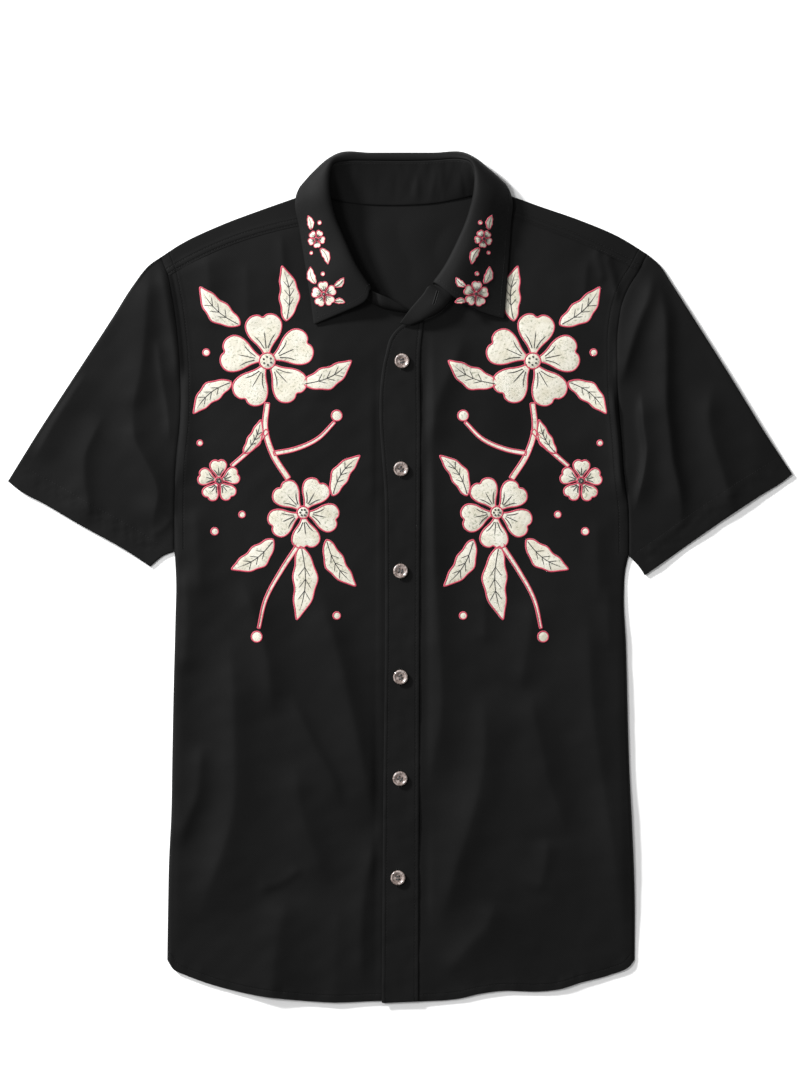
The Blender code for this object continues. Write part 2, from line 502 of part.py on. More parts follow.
def sleeve_grid(side):
    """A sleeve as rings from the armhole to the hem, each a flattened loop."""
    outward = -1 if side == "right" else 1
    armhole = smooth_line(ARMHOLE[side][::-1]) + (outward * GAP / 2, 0)
    across = np.linspace(0.0, 1.0, SLEEVE_ACROSS + 1)
    shared = np.interp(-armhole_levels(side)[::-1], -armhole[:, 1], run_lengths(armhole))
    armhole = at_lengths(armhole, across * run_lengths(armhole)[-1])
    overarm = spaced(OVERARM[side], SLEEVE_STATIONS) + (outward * GAP / 2, 0)
    underarm = spaced(UNDERARM[side], SLEEVE_STATIONS) + (outward * GAP / 2, 0)
    hem = spaced(SLEEVE_HEM[side], SLEEVE_ACROSS) + (outward * GAP / 2, 0)
    plan = patch(armhole, hem, overarm, underarm)
    rings, marks = [], None
    for line in plan:
        length = run_lengths(line)[-1]
        near = sleeve_height(at_lengths(line, [SIDE_ROLL, length - SIDE_ROLL]))
        turn = (near - CLOTH / 2) / 2
        start, end = turn[0] + CLOTH / 2, length - turn[1] - CLOTH / 2
        if marks is None:
            marks = np.concatenate([[start, (start + shared[0]) / 2], shared[:-1], [end]])
            marks = (marks - start) / (end - start)
        back = np.linspace(start, end, SLEEVE_BACK_STEPS + 1)
        front = (start + (end - start) * marks)[::-1]
        bend = np.radians([45, 90, 135])
        run = np.concatenate([back, end + turn[1] * np.sin(bend), front, start - turn[0] * np.sin(bend)])
        spot = at_lengths(line, run)
        level = np.concatenate([
            np.full(len(back), CLOTH / 2),
            CLOTH / 2 + turn[1] * (1 - np.cos(bend)),
            sleeve_height(at_lengths(line, front)),
            CLOTH / 2 + turn[0] * (1 + np.cos(bend)),
        ])
        rings.append(raised(spot, level))
    return np.stack(rings)


def collar_sections(columns):
    """Each section of the collar, as points along the stand and points along the leaf."""
    rows = np.array([[value for point in row[:-1] for value in point] + [row[-1]] for row in COLLAR])
    rows = spaced(rows, columns)
    stand, leaf = [], []
    for row in rows:
        curve = cut_corners(row[:-1].reshape(-1, 3), CORNER_CUTS)
        length = run_lengths(curve)[-1]
        joint = row[-1]
        stand.append(at_lengths(curve, (joint - JOINT_GAP / 2) * STAND_SPREAD))
        start = joint + JOINT_GAP / 2
        leaf.append(at_lengths(curve, start + (length - start) * LEAF_SPREAD))
    stand, leaf = np.array(stand), np.array(leaf)
    leaf[..., 2] = np.maximum(leaf[..., 2], COLLAR_WALL / 2)
    return stand, leaf


def stand_end(rows, neighbour):
    """The end of the stand from its foot, shoulder and top points, up to its neighbouring section."""
    curves = [cut_corners(row, CORNER_CUTS) for row in rows]
    sections = [at_lengths(curve, run_lengths(curve)[-1] * STAND_SPREAD) for curve in curves]
    flat = np.array([section.ravel() for section in sections] + [neighbour.ravel()])
    return spaced(flat, END_COLUMNS).reshape(-1, len(STAND_SPREAD), 3)


def stand_grid(stand):
    """The whole stand, from the right end under the lap to the left end with the buttonhole."""
    first = stand_end(STAND_END_RIGHT, stand[0])
    last = stand_end(STAND_END_LEFT[::-1], stand[-1])[::-1]
    return np.concatenate([first[:-1], stand, last[1:]])


# ---- objects -----------------------------------------------------------------------------------------
def material(name):
    made = bpy.data.materials.get(name)
    if made is None:
        colour, roughness = COLOURS[name]
        made = bpy.data.materials.new(name)
        made.use_nodes = True
        shader = made.node_tree.nodes["Principled BSDF"]
        shader.inputs["Base Color"].default_value = (*colour, 1.0)
        shader.inputs["Roughness"].default_value = roughness
        made.diffuse_color = (*colour, 1.0)
    return made


def add_object(name, mesh, slot, collection):
    thing = bpy.data.objects.new(name, mesh)
    mesh.materials.append(material(slot))
    collection.objects.link(thing)
    return thing


def grid_mesh(name, grids, closed=False):
    """Quads over one or more grids of points, welded where they share an edge."""
    mesh = bmesh.new()
    for grid in grids:
        rows, columns = grid.shape[:2]
        corners = [[mesh.verts.new(point * MM) for point in row] for row in grid]
        for i in range(rows - 1):
            for j in range(columns if closed else columns - 1):
                k = (j + 1) % columns
                mesh.faces.new((corners[i][j], corners[i][k], corners[i + 1][k], corners[i + 1][j]))
    bmesh.ops.remove_doubles(mesh, verts=mesh.verts, dist=0.01 * MM)
    bmesh.ops.recalc_face_normals(mesh, faces=mesh.faces)
    made = bpy.data.meshes.new(name)
    mesh.to_mesh(made)
    mesh.free()
    made.shade_smooth()
    return made


def cloth_object(name, grids, wall, slot, collection, closed=False):
    """A named piece of cloth: an open surface with an even wall."""
    thing = add_object(name, grid_mesh(name, grids, closed), slot, collection)
    shell = thing.modifiers.new("wall", "SOLIDIFY")
    shell.thickness = wall * MM
    shell.offset = 0.0
    return thing


def plate_object(name, outline, wall, slot, collection):
    """A flat piece that lies on the surface, from its outline."""
    curve = bpy.data.curves.new(name, "CURVE")
    curve.dimensions = "2D"
    curve.fill_mode = "BOTH"
    curve.extrude = wall / 2 * MM
    spline = curve.splines.new("POLY")
    spline.points.add(len(outline) - 1)
    for spot, (x, y) in zip(spline.points, outline):
        spot.co = (x * MM, y * MM, 0.0, 1.0)
    spline.use_cyclic_u = True
    thing = add_object(name, curve, slot, collection)
    thing.location.z = wall / 2 * MM
    return thing


def button_mesh(cutters):
    """One four-hole button, turned from its section, with the thread holes cut through."""
    profile = bpy.data.meshes.new("button_profile")
    points = [(r * MM, 0.0, z * MM) for r, z in BUTTON_PROFILE]
    profile.from_pydata(points, [(i, i + 1) for i in range(len(points) - 1)], [])
    turned = bpy.data.objects.new("button_blank", profile)
    cutters.objects.link(turned)
    screw = turned.modifiers.new("turn", "SCREW")
    screw.steps = screw.render_steps = BUTTON_STEPS
    screw.use_merge_vertices = True
    screw.merge_threshold = 0.00001
    for sign_x in (-1, 1):
        for sign_y in (-1, 1):
            cutter_mesh = bpy.data.meshes.new("thread_hole")
            shape = bmesh.new()
            bmesh.ops.create_cone(shape, cap_ends=True, segments=8, radius1=THREAD_HOLE * MM,
                                  radius2=THREAD_HOLE * MM, depth=8 * MM)
            shape.to_mesh(cutter_mesh)
            shape.free()
            cutter = bpy.data.objects.new("thread_hole", cutter_mesh)
            cutter.location = (sign_x * THREAD_SPREAD * MM, sign_y * THREAD_SPREAD * MM, 0.0)
            cutter.hide_render = True
            cutter.display_type = "WIRE"
            cutters.objects.link(cutter)
            cut = turned.modifiers.new("thread_hole", "BOOLEAN")
            cut.operation = "DIFFERENCE"
            cut.object = cutter
    bpy.context.view_layer.update()
    depsgraph = bpy.context.evaluated_depsgraph_get()
    mesh = bpy.data.meshes.new_from_object(turned.evaluated_get(depsgraph))
    mesh.name = "button"
    bpy.data.objects.remove(turned)
    mesh.materials.clear()
    mesh.materials.append(material("button"))
    mesh.shade_smooth()
    mesh.set_sharp_from_angle(angle=math.radians(40))
    return mesh


def add_buttons(collection, cutters):
    mesh = button_mesh(cutters)
    for number, (x, y, turn) in enumerate(BUTTONS, 1):
        plan = np.array([[x, y]])
        seat = front_height(plan)[0] + CLOTH / 2 + BAND_WALL + 2 * GAP
        button = bpy.data.objects.new(f"button_{number}", mesh)
        button.location = Vector((x, y, seat)) * MM
        button.rotation_euler.z = math.radians(turn)
        collection.objects.link(button)


def new_collection(name):
    made = bpy.data.collections.new(name)
    bpy.context.scene.collection.children.link(made)
    return made


def build():
    for thing in list(bpy.data.objects):
        bpy.data.objects.remove(thing)
    shirt = new_collection("western_shirt")
    cutters = new_collection("cutters")
    plate_object("back_panel", back_outline(), CLOTH, "cloth", shirt)
    cloth_object("back_yoke", yoke_grids(), CLOTH, "cloth", shirt)
    cloth_object("front_right", [front_panel("right", LAP_EDGE)], CLOTH, "cloth", shirt)
    left_edge = np.array(BAND_INNER) + (GAP / 2, 0)
    cloth_object("front_left", [front_panel("left", left_edge)], CLOTH, "cloth", shirt)
    cloth_object("placket", [band_grid()], BAND_WALL, "cloth", shirt)
    for side in ("right", "left"):
        cloth_object(f"sleeve_{side}", [sleeve_grid(side)], CLOTH, "cloth", shirt, closed=True)
    stand, leaf = collar_sections(COLLAR_COLUMNS)
    cloth_object("collar_stand", [stand_grid(stand)], COLLAR_WALL, "collar", shirt)
    cloth_object("collar_leaf", [leaf], COLLAR_WALL, "collar", shirt)
    add_buttons(shirt, cutters)


build()
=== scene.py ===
"""The looks of a black short-sleeved western shirt that lies flat, face up, on a pale floor.

The frame is the CAD model's: X across the shirt towards the wearer's left, Y from the hem to the
collar, Z up. Every table is in millimetres, and the meshes are built in metres. Each piece of cloth is
a thin shell on the form of the CAD solid that it replaces, with finer creases, puckers and seams.
"""

import json
import math

import bmesh
import bpy
import numpy as np
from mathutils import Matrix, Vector
from mathutils.bvhtree import BVHTree
from mathutils.geometry import delaunay_2d_cdt

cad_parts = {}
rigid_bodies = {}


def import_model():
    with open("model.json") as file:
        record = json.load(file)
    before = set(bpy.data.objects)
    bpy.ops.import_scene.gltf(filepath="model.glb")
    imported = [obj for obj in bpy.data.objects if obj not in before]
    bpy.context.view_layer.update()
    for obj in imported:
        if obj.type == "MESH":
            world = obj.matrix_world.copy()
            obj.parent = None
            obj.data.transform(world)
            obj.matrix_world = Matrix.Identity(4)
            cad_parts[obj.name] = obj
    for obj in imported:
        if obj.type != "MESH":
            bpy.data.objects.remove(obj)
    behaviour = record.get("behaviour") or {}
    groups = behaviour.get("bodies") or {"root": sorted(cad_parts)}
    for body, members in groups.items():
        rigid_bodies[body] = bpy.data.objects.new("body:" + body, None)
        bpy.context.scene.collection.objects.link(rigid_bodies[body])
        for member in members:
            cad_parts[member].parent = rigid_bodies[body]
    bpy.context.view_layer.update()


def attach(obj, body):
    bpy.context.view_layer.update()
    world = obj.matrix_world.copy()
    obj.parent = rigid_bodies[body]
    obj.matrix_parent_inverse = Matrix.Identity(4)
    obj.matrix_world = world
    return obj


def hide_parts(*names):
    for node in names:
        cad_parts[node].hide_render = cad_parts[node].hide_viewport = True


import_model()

MM = 0.001
QUARTER = math.pi / 2
SIDES = ("right", "left")
INWARD = {"right": 1, "left": -1}    # along X, from the side to the middle

# ---- sizes that the CAD model shares ----
CLOTH = 1.2            # wall of the solids' cloth
COLLAR_WALL = 1.6
FRONT_LEVEL = 2.4      # middle of the fronts where they lie flat on the back
LOWEST_TOP = 2.15
SIDE_ROLL = 4.0        # how far in from its edge the front starts to roll down to the surface
HEM_CORNER = 7.5       # length of the hem that the rolled side takes up
LAP_REACH = 14.0       # over which the left front climbs to the band
UNDER_LAP = 15.0       # the right front's edge under the band
ARM_ROLL = 0.5         # share of the roll where the front lies over the lower armhole
ARM_ROLL_FROM = 190.0
ARM_ROLL_FULL = 120.0
BACK_SEAM = 250.0      # y of the seam between the yoke and the back

# ---- sizes of the looks ----
THIN = 0.6             # wall of the cloth
THIN_BAND = 1.1        # two layers and interfacing
THIN_COLLAR = 1.3
BAND_LEVEL = 1.75      # middle of the band above the middle of the front under it
LAP_RISE = 0.8         # the left front climbs this much where it goes under the band
TUCK = 5.0             # how far it goes under
BACK_INSET = 0.9       # the back meets the rolled sides
BACK_HEM_INSET = 1.5
SEAM_GAP = 0.05        # the pieces meet at their seams
WELD = 0.01            # points closer than this are one
CLOTH_SHARP = 50       # degrees; the cloth's cut edges stay sharp
NECK_TUCK = 6.0        # the yoke goes this far under the back of the stand
SPREAD_SECTIONS = 16   # of the stand, under the leaf's front edge, that spread out towards its left end
SPREAD_SHOULDER = (3.0, 3.2, 9.6)

# ---- cutting lines, from the hem up or from the shoulder out ----
SIDE = {
    "right": [(-221.3, -363), (-220.6, -315), (-219.6, -268), (-217.5, -225), (-216.6, -173),
              (-215.4, -110), (-213.6, -40), (-212.9, -5), (-214.3, 24.5)],
    "left": [(223.2, -363), (223.2, -300), (221.0, -240), (218.3, -185), (216.6, -130),
             (215.0, -65), (213.0, -15), (214.2, 6), (217.3, 21)],
}
ARMHOLE = {
    "right": [(-214.3, 24.5), (-214.3, 74), (-212.8, 112), (-209.0, 150), (-209.0, 197),
              (-211.8, 235), (-216.1, 266), (-220.4, 286.7), (-227.2, 305.2)],
    "left": [(217.3, 21), (216.6, 66), (213.1, 96), (210.5, 131), (207.1, 169), (206.1, 205),
             (207.1, 240), (212.0, 264), (218.5, 279), (226.1, 291.4), (234.6, 308)],
}
SHOULDER = {           # the fold of the yoke, from the armhole to the neck
    "right": [(-227.2, 305.2), (-209, 317), (-171, 335), (-133, 349.4), (-100.7, 360.8), (-86.5, 366)],
    "left": [(234.6, 308), (209, 323.7), (171, 340), (133, 353.2), (109.2, 361.7), (92.1, 367.5)],
}
YOKE_SEAM = {          # front seam of the yoke, from the armhole to the neck
    "right": [(-220.4, 286.7), (-190, 303.3), (-152, 319.4), (-123.5, 328), (-86.5, 336.5)],
    "left": [(226.1, 291.4), (209, 300.4), (171, 318), (136.8, 331.3), (106.4, 342.2), (92.1, 345.6)],
}
NECKLINE = {           # from the yoke seam to the middle
    "right": [(-86.5, 336.5), (-83.6, 325.6), (-74.1, 306.6), (-59.8, 288.6), (-45.6, 275.3),
              (-31.3, 264.8), (-21.8, 257.8), (0.9, 252.8), (UNDER_LAP, 250.6)],
    "left": [(92.1, 345.6), (88.5, 325.6), (78, 303.8), (62.7, 283), (48.2, 262.9), (38.9, 252),
             (31.3, 247.7), (22.8, 245), (22.8 - TUCK, 244.6)],
}
HEM = {                # from the side to the middle
    "right": [(-221.3, -363), (-214.7, -372.6), (-204.2, -377.4), (-177.7, -386.9), (-138.7, -396.4),
              (-100.7, -401.1), (-65.5, -403.5), (-18.1, -402.1), (UNDER_LAP, -402.1)],
    "left": [(223.2, -363), (218.5, -369), (199.5, -377.4), (171, -385), (152, -391), (133, -393.2),
             (95, -392.8), (76, -395.4), (57, -399.8), (17.8, -402.6), (17.8 - TUCK, -402.8)],
}
BAND_INNER = [(22.8, 245), (20.2, 221), (19.9, 149), (19, -21), (17.8, -402.6)]
BAND_FREE = [(8.5, 244.4), (-0.9, 238.2), (-9.5, 228), (-14.2, 211.6), (-14.4, 60), (-14.2, -21),
             (-16.1, -211), (-17.6, -404.2)]
LAP_EDGE = [(UNDER_LAP, 250.6), (UNDER_LAP, 0), (UNDER_LAP, -402.1)]
BACK_NECK = [(-86.5, 363.6), (-67.1, 359.1), (-44.8, 354.6), (1.2, 353), (38, 355.6), (67.2, 361.5),
             (92.1, 365.2)]
OVERARM = {            # fold of the sleeve, from the shoulder to the hem
    "right": [(-227.2, 305.2), (-237.5, 298.1), (-253.6, 278.1), (-271.7, 249.6), (-308.8, 192.6),
              (-345.8, 135.6), (-372.9, 91.9)],
    "left": [(234.6, 308), (246, 298.1), (259.3, 278.1), (277.4, 249.6), (313.5, 192.6),
             (348.6, 135.6), (373, 98.6)],
}
UNDERARM = {           # from the body to the hem
    "right": [(-214.3, 24.5), (-224.2, 20.7), (-237, 10.4)],
    "left": [(217.3, 21), (228, 9), (232.4, 2.1)],
}
SLEEVE_HEM = {         # from the overarm fold to the underarm
    "right": [(-372.9, 91.9), (-361, 82.4), (-338.2, 70.1), (-304, 50.1), (-258.4, 24.5), (-237, 10.4)],
    "left": [(373, 98.6), (364.8, 91.9), (342, 77.7), (296.4, 47.3), (250.8, 15), (232.4, 2.1)],
}

# ---- folds of the upper cloth ----
# A fold's crest runs through its points. Looking down a fold that runs from the collar to the hem, west
# and east are its half widths to -X and +X; on any other, to the right and the left of its run.
# (x, y) of the crest's points, height, west, east
FRONT_FOLDS = [
    ([(-163, -45), (-159, -92), (-157, -154), (-158, -216), (-164, -247), (-173, -273), (-184, -304),
      (-193, -335)], 6.0, 17, 24),
    ([(-152, 3), (-141, -27), (-133, -51), (-126, -77), (-123, -107), (-119, -135)], 4.0, 13, 15),
    ([(-78, -7), (-68, -42), (-59, -71), (-48, -119), (-38, -164), (-30, -211),
      (-28, -240)], 5.0, 20, 13),
    ([(-106, -109), (-92, -137), (-80, -162), (-66, -188), (-54, -223)], 2.6, 16, 6),
    ([(-99, -173), (-96, -211), (-89, -240), (-79, -266), (-67, -295)], 3.0, 18, 13),
    ([(-189, -154), (-190, -183), (-194, -211), (-203, -232), (-210, -261)], 3.4, 13, 9),
    ([(-204, 12), (-202, -21), (-202, -59), (-206, -97)], 3.0, 10, 18),
    ([(-105, -297), (-112, -325), (-116, -344), (-119, -368), (-122, -430)], 4.2, 22, 20),
    ([(-22, -240), (-25, -259), (-31, -283), (-36, -322), (-37, -363), (-35, -394)], 3.4, 15, 9),
    ([(-137, -297), (-125, -294), (-110, -288), (-98, -279), (-91, -274)], 1.6, 4, 9),
    ([(-207, 10), (-213, -380)], 2.2, 16, 12),
    ([(-58, -299), (-61, -368), (-62, -430)], 1.8, 18, 14),
    ([(63, 237), (54, 210), (47, 194), (38, 173), (32, 150), (29, 121)], 4.0, 20, 13),
    ([(29, 150), (30, 83), (32, 45), (34, 2), (36, -40), (39, -97), (39, -128), (36, -154), (31, -179),
      (24, -206)], 3.6, 11, 14),
    ([(77, -102), (80, -128), (81, -162), (75, -204), (64, -243), (55, -270), (48, -296), (41, -318),
      (33, -342)], 5.2, 18, 21),
    ([(124, -102), (128, -135), (135, -164), (142, -197), (152, -223), (158, -251)], 4.0, 22, 15),
    ([(141, -247), (138, -276), (130, -302)], 2.0, 13, 8),
    ([(175, -12), (180, -64), (182, -116), (188, -164), (194, -202), (200, -240), (205, -278),
      (207, -335)], 4.6, 18, 20),
    ([(93, -304), (82, -333), (71, -345), (61, -356), (43, -380)], 3.5, 13, 20),
    ([(124, -21), (124, -50), (119, -78), (114, -109)], 2.2, 12, 12),
    ([(81, -12), (80, -64)], 1.4, 10, 7),
    ([(207, 10), (213, -380)], 2.2, 12, 16),
    ([(197, -7), (199, -73)], 1.6, 11, 9),
    ([(-183, 311), (-181, 278), (-179, 235)], 2.2, 15, 12),
    ([(-146, 304), (-144, 231)], 1.1, 8, 10),
    ([(-113, 326), (-110, 283)], 1.2, 6, 5),
    ([(-200, 207), (-202, 169), (-204, 131), (-205, 83)], 2.8, 8, 12),
    ([(-194, 69), (-192, 31), (-190, -21)], 2.4, 16, 12),
    ([(-74, 226), (-77, 164)], 1.2, 14, 12),
    ([(-26, 174), (-25, 64)], 1.0, 12, 8),
    ([(185, 315), (189, 300), (194, 279)], 1.6, 5, 4),
    ([(194, 311), (200, 294), (204, 278), (207, 261)], 2.4, 5, 4),
    ([(178, 304), (175, 260)], 1.3, 8, 5),
    ([(187, 60), (189, -26)], 2.0, 14, 12),
    ([(206, 183), (211, 145), (215, 107), (217, 69)], 5.5, 14, 6),
    ([(60, 240), (120, 60)], 1.8, 50, 50),
    ([(-60, 240), (-120, 60)], 1.8, 50, 50),
]
SLEEVE_FOLDS = [
    ([(-229, 304), (-222, 273), (-218, 245), (-213, 214), (-211, 178)], 3.6, 8, 6),
    ([(-238, 300), (-240, 264), (-242, 240), (-244, 216), (-247, 193), (-253, 165),
      (-254, 140)], 5.5, 24, 13),
    ([(-254, 164), (-251, 129), (-242, 111), (-234, 95), (-230, 79), (-233, 62),
      (-236, 41)], 4.5, 13, 12),
    ([(-231, 231), (-226, 188), (-221, 159), (-218, 126)], 2.0, 4, 9),
    ([(-280, 159), (-291, 136), (-299, 117), (-300, 98), (-297, 74), (-296, 45)], 3.6, 16, 9),
    ([(-294, 199), (-323, 155), (-349, 109)], 2.6, 6, 20),
    ([(-246, 283), (-366, 96)], 1.8, 18, 18),
    ([(-238, 40), (-226, 46), (-216, 58)], 1.2, 5, 6),
    ([(242, 294), (236, 264), (228, 245), (221, 224), (216, 207), (209, 180)], 4.5, 10, 7),
    ([(242, 294), (248, 271), (252, 250), (253, 221), (253, 193), (253, 164), (256, 136), (259, 110),
      (265, 83), (267, 60), (263, 36)], 7.0, 15, 8),
    ([(300, 188), (295, 171), (294, 145), (300, 121), (307, 98), (314, 74), (321, 53)], 4.5, 13, 12),
    ([(229, 180), (231, 145), (234, 121), (232, 102), (228, 83), (223, 62)], 4.5, 4, 12),
    ([(252, 284), (366, 100)], 1.8, 18, 18),
]
FOLD_SHARPNESS = 1.4   # 2 gives a round crest, and 1 a pinched one
FOLD_ENDS = 0.22       # share of a fold's length over which each of its ends rises
FOLD_REACH = 4.0       # half widths past which a fold adds nothing
FOLD_STEP = 1.5        # between the points of a crest that are tried
FOLD_EASE = 0.85       # the thin cloth's folds stand a little lower than the solids'
BAND_MIDDLE = 2.0      # x; the band is stiffer than the cloth, so no fold runs in under it
CALM_HALF = 21.0       # half the width that stays flat
CALM_FADE = 9.0        # over this distance the folds rise to their height

# ---- the collar: sections from the neck seam over the roll to the leaf's edge ----
# n: x y z, s: x y z, t: x y z, b: x y z, d: x y z, e: x y z, height of the stand along the section
COLLAR = [
    ((-30.4, 263.4, 4.2), (-25, 274, 13), (-29, 274, 17),
     (-30, 261.5, 15.5), (-57, 250.5, 8.8), (-82, 240, 4.6), 12),
    ((-45.6, 275.3, 4.2), (-39, 295, 15), (-43, 295, 20),
     (-54, 287, 18), (-72, 274, 9.8), (-85.5, 266, 4.8), 20.2),
    ((-65.5, 299, 4.4), (-51, 321, 16), (-55, 321, 21),
     (-67, 314, 18), (-84, 305, 9.8), (-90.5, 299, 5), 26.6),
    ((-83.6, 330.4, 4.4), (-61, 346, 17), (-65, 346, 23),
     (-79, 341, 19.5), (-91, 336, 9.5), (-96, 333.5, 5.4), 28.4),
    ((-86.9, 353.2, 4.8), (-65, 367, 19), (-69, 367, 25),
     (-84, 365, 20.5), (-96, 361, 10), (-99.5, 355.5, 7), 26.4),
    ((-79.8, 361.7, 3.6), (-65, 380, 19), (-69, 384, 24),
     (-85, 379, 16), (-95, 371, 7.2), (-96, 367.5, 4), 28),
    ((-66.5, 359.9, 2), (-62, 391, 18), (-65, 396, 22),
     (-78, 390, 10), (-83, 381, 1.6), (-79, 374, 0.8), 36),
    ((-51.3, 356.4, 1.6), (-50, 394, 14), (-52, 401, 17),
     (-59, 404, 6), (-60, 397, 0.8), (-57, 367, 0.8), 41),
    ((-28.5, 354, 1.5), (-28, 393, 10.5), (-28, 401, 14),
     (-29, 404, 5), (-29, 399, 0.8), (-27, 363, 0.8), 43),
    ((1.9, 353.6, 1.5), (2, 393, 9.5), (2, 401.2, 13), (2, 404, 5), (2, 399, 0.8), (2, 363, 0.8), 43),
    ((32.3, 355.4, 1.5), (32, 393, 10.5), (32, 401, 14),
     (33, 404, 5), (33, 399, 0.8), (31, 364, 0.8), 42),
    ((56.1, 359.6, 1.6), (54, 394, 14), (56, 401, 17), (63, 404, 6), (64, 397, 0.8), (61, 368, 0.8), 40),
    ((71.3, 363, 2), (66, 391, 18), (69, 396, 22), (84, 389, 10), (89, 380, 1.6), (85, 374, 0.8), 35),
    ((84.6, 364.6, 3.6), (69, 380, 19), (73, 384, 24),
     (90, 380, 16), (101, 373, 7.2), (102, 369, 4), 28),
    ((91.2, 357.9, 4.8), (68, 368, 19), (73, 368, 25),
     (89, 365, 21), (102, 362, 10), (106.5, 358, 7), 26.6),
    ((88.4, 334.2, 4.6), (63, 346, 17), (68, 346, 22.5),
     (83, 342, 20.5), (98, 338, 10), (105.5, 336, 5.4), 28.6),
    ((71.3, 302.8, 4.6), (53, 321, 16), (58, 321, 20),
     (70, 315, 21), (90, 307, 10.5), (103.4, 302, 5), 24),
    ((56.1, 279.1, 4.8), (40, 296, 15), (45, 296, 18.5),
     (57, 289, 21), (82, 277, 10.5), (101.3, 272, 4.8), 21.4),
    ((47.5, 262.9, 5.2), (28.5, 280, 13.5), (33, 280, 17),
     (48, 267, 20), (72, 253, 10), (99.3, 245.4, 4.6), 22.2),
]
# The stand's two ends, past the leaf: foot x y z, shoulder x y z, top x y z
STAND_END_RIGHT = [
    ((10, 251.2, 4.0), (10, 252.3, 5.2), (10, 253.4, 6)),
    ((2.9, 252.3, 4.0), (2.7, 253.8, 7.5), (1.9, 258.2, 9)),
    ((-7.6, 254.1, 4.0), (-7.7, 255.8, 9.5), (-8.5, 264.3, 11.5)),
    ((-19, 256.9, 4.0), (-19, 258.8, 11), (-18.5, 268.6, 13)),
]
STAND_END_LEFT = [
    ((45.5, 260.5, 5.3), (48.5, 264, 14), (27.8, 277, 14.5)),
    ((40.5, 254.5, 5.6), (43.5, 259, 15.5), (22.5, 270, 14)),
    ((30.5, 248.2, 6.6), (32, 251, 14.5), (15.2, 261.5, 13)),
    ((20.5, 245.4, 7.0), (21, 243.3, 12), (8.5, 253.5, 11.5)),
    ((13.5, 243.6, 6.8), (10.5, 239.2, 7.8), (-0.6, 241.2, 7.6)),
]

# ---- buttons ----
# x, y, turn in degrees, from the collar to the hem
BUTTONS = [(1.9, 205.9, 12), (0.9, 103.3, 40), (0.5, 6.4, 75), (0.5, -94.3, 20), (0, -190.7, 55),
           (-1.9, -284.8, 5)]
# r, z: half of the button's section, from the middle of its back to the middle of its top
BUTTON_PROFILE = [(0, 0), (4.6, 0), (6.0, 0.35), (6.8, 1.0), (7.0, 1.55), (6.85, 2.1), (6.4, 2.5),
                  (5.85, 2.65), (5.3, 2.5), (4.8, 2.1), (4.2, 1.72), (3.4, 1.55), (0, 1.5)]
BUTTON_SEAT = 3.0      # above the middle of the front under it
THREAD_HOLE = 0.9      # radius
THREAD_SPREAD = 1.45   # from the middle to a hole, along x and along y

# ---- how finely the pieces are cut up ----
FRONT_COLUMNS = 88
SIDE_ROWS = 140
ARMHOLE_ROWS = 96
NECK_ROWS = 36
ROLL_STEPS = 7
YOKE_COLUMNS = 60
YOKE_FRONT_ROWS = 14
YOKE_BACK_ROWS = 36
NECK_COLUMNS = 64
BACK_COLUMNS = 110
BACK_SIDE_ROWS = 130
BACK_ARM_ROWS = 70
SLEEVE_STATIONS = 88
SLEEVE_ACROSS = 110
SLEEVE_BACK_STEPS = 44
BAND_ROWS = 260
BAND_COLUMNS = 14
COLLAR_COLUMNS = 150
STAND_ROWS = 16
LEAF_ROWS = 29
END_COLUMNS = 24
CORNER_CUTS = 5
FINE = 40              # points read from a smooth line between two of its own points
POINTS_AT_ONCE = 2000  # that are held against a line in one step
ROLL_BENDS = 12        # steps round the fold of a shoulder
SLEEVE_BENDS = 8       # steps round the fold of a sleeve
WAVE_COUNT = 14        # sine waves in one pattern of ripples


# ---- smooth lines and patches ----
def run_lengths(path):
    """Distance along the path at each of its points."""
    steps = np.linalg.norm(np.diff(path, axis=0), axis=1)
    return np.concatenate([[0.0], np.cumsum(steps)])


def unit(vectors):
    """The vectors, each made one long."""
    return vectors / np.maximum(np.linalg.norm(vectors, axis=-1, keepdims=True), 1e-9)


def aside_of(line):
    """Unit directions to the left of a line of the plan, at each of its points."""
    ahead = unit(np.gradient(line, axis=0))
    return np.stack([-ahead[:, 1], ahead[:, 0]], axis=1)


def turns(count):
    """Angles evenly spaced round a full turn."""
    return np.linspace(0, 2 * math.pi, count, endpoint=False)


def circle(x, y, radius, count):
    """Points evenly spaced round a circle."""
    return np.array([(x + radius * math.cos(a), y + radius * math.sin(a)) for a in turns(count)])


def at_lengths(path, wanted):
    """Points of the path at the wanted distances along it."""
    reach = run_lengths(path)
    return np.stack([np.interp(wanted, reach, path[:, k]) for k in range(path.shape[1])], axis=1)


def smooth_line(points):
    """A smooth line through the points, finely divided."""
    p = np.array(points, float)
    knots = run_lengths(p)
    slope = np.gradient(p, knots, axis=0)
    fine = np.linspace(0.0, knots[-1], FINE * (len(p) - 1) + 1)
    k = np.clip(np.searchsorted(knots, fine, side="right") - 1, 0, len(p) - 2)
    h = (knots[k + 1] - knots[k])[:, None]
    t = (fine - knots[k])[:, None] / h
    return ((2 * t ** 3 - 3 * t ** 2 + 1) * p[k] + (t ** 3 - 2 * t ** 2 + t) * h * slope[k]
            + (3 * t ** 2 - 2 * t ** 3) * p[k + 1] + (t ** 3 - t ** 2) * h * slope[k + 1])


def evenly(line, steps, start=0.0):
    """The line from a distance along it to its end, as steps + 1 evenly spaced points."""
    return at_lengths(line, np.linspace(start, run_lengths(line)[-1], steps + 1))


def spaced(points, steps):
    """The smooth line through the points, as steps + 1 evenly spaced points."""
    return evenly(smooth_line(points), steps)


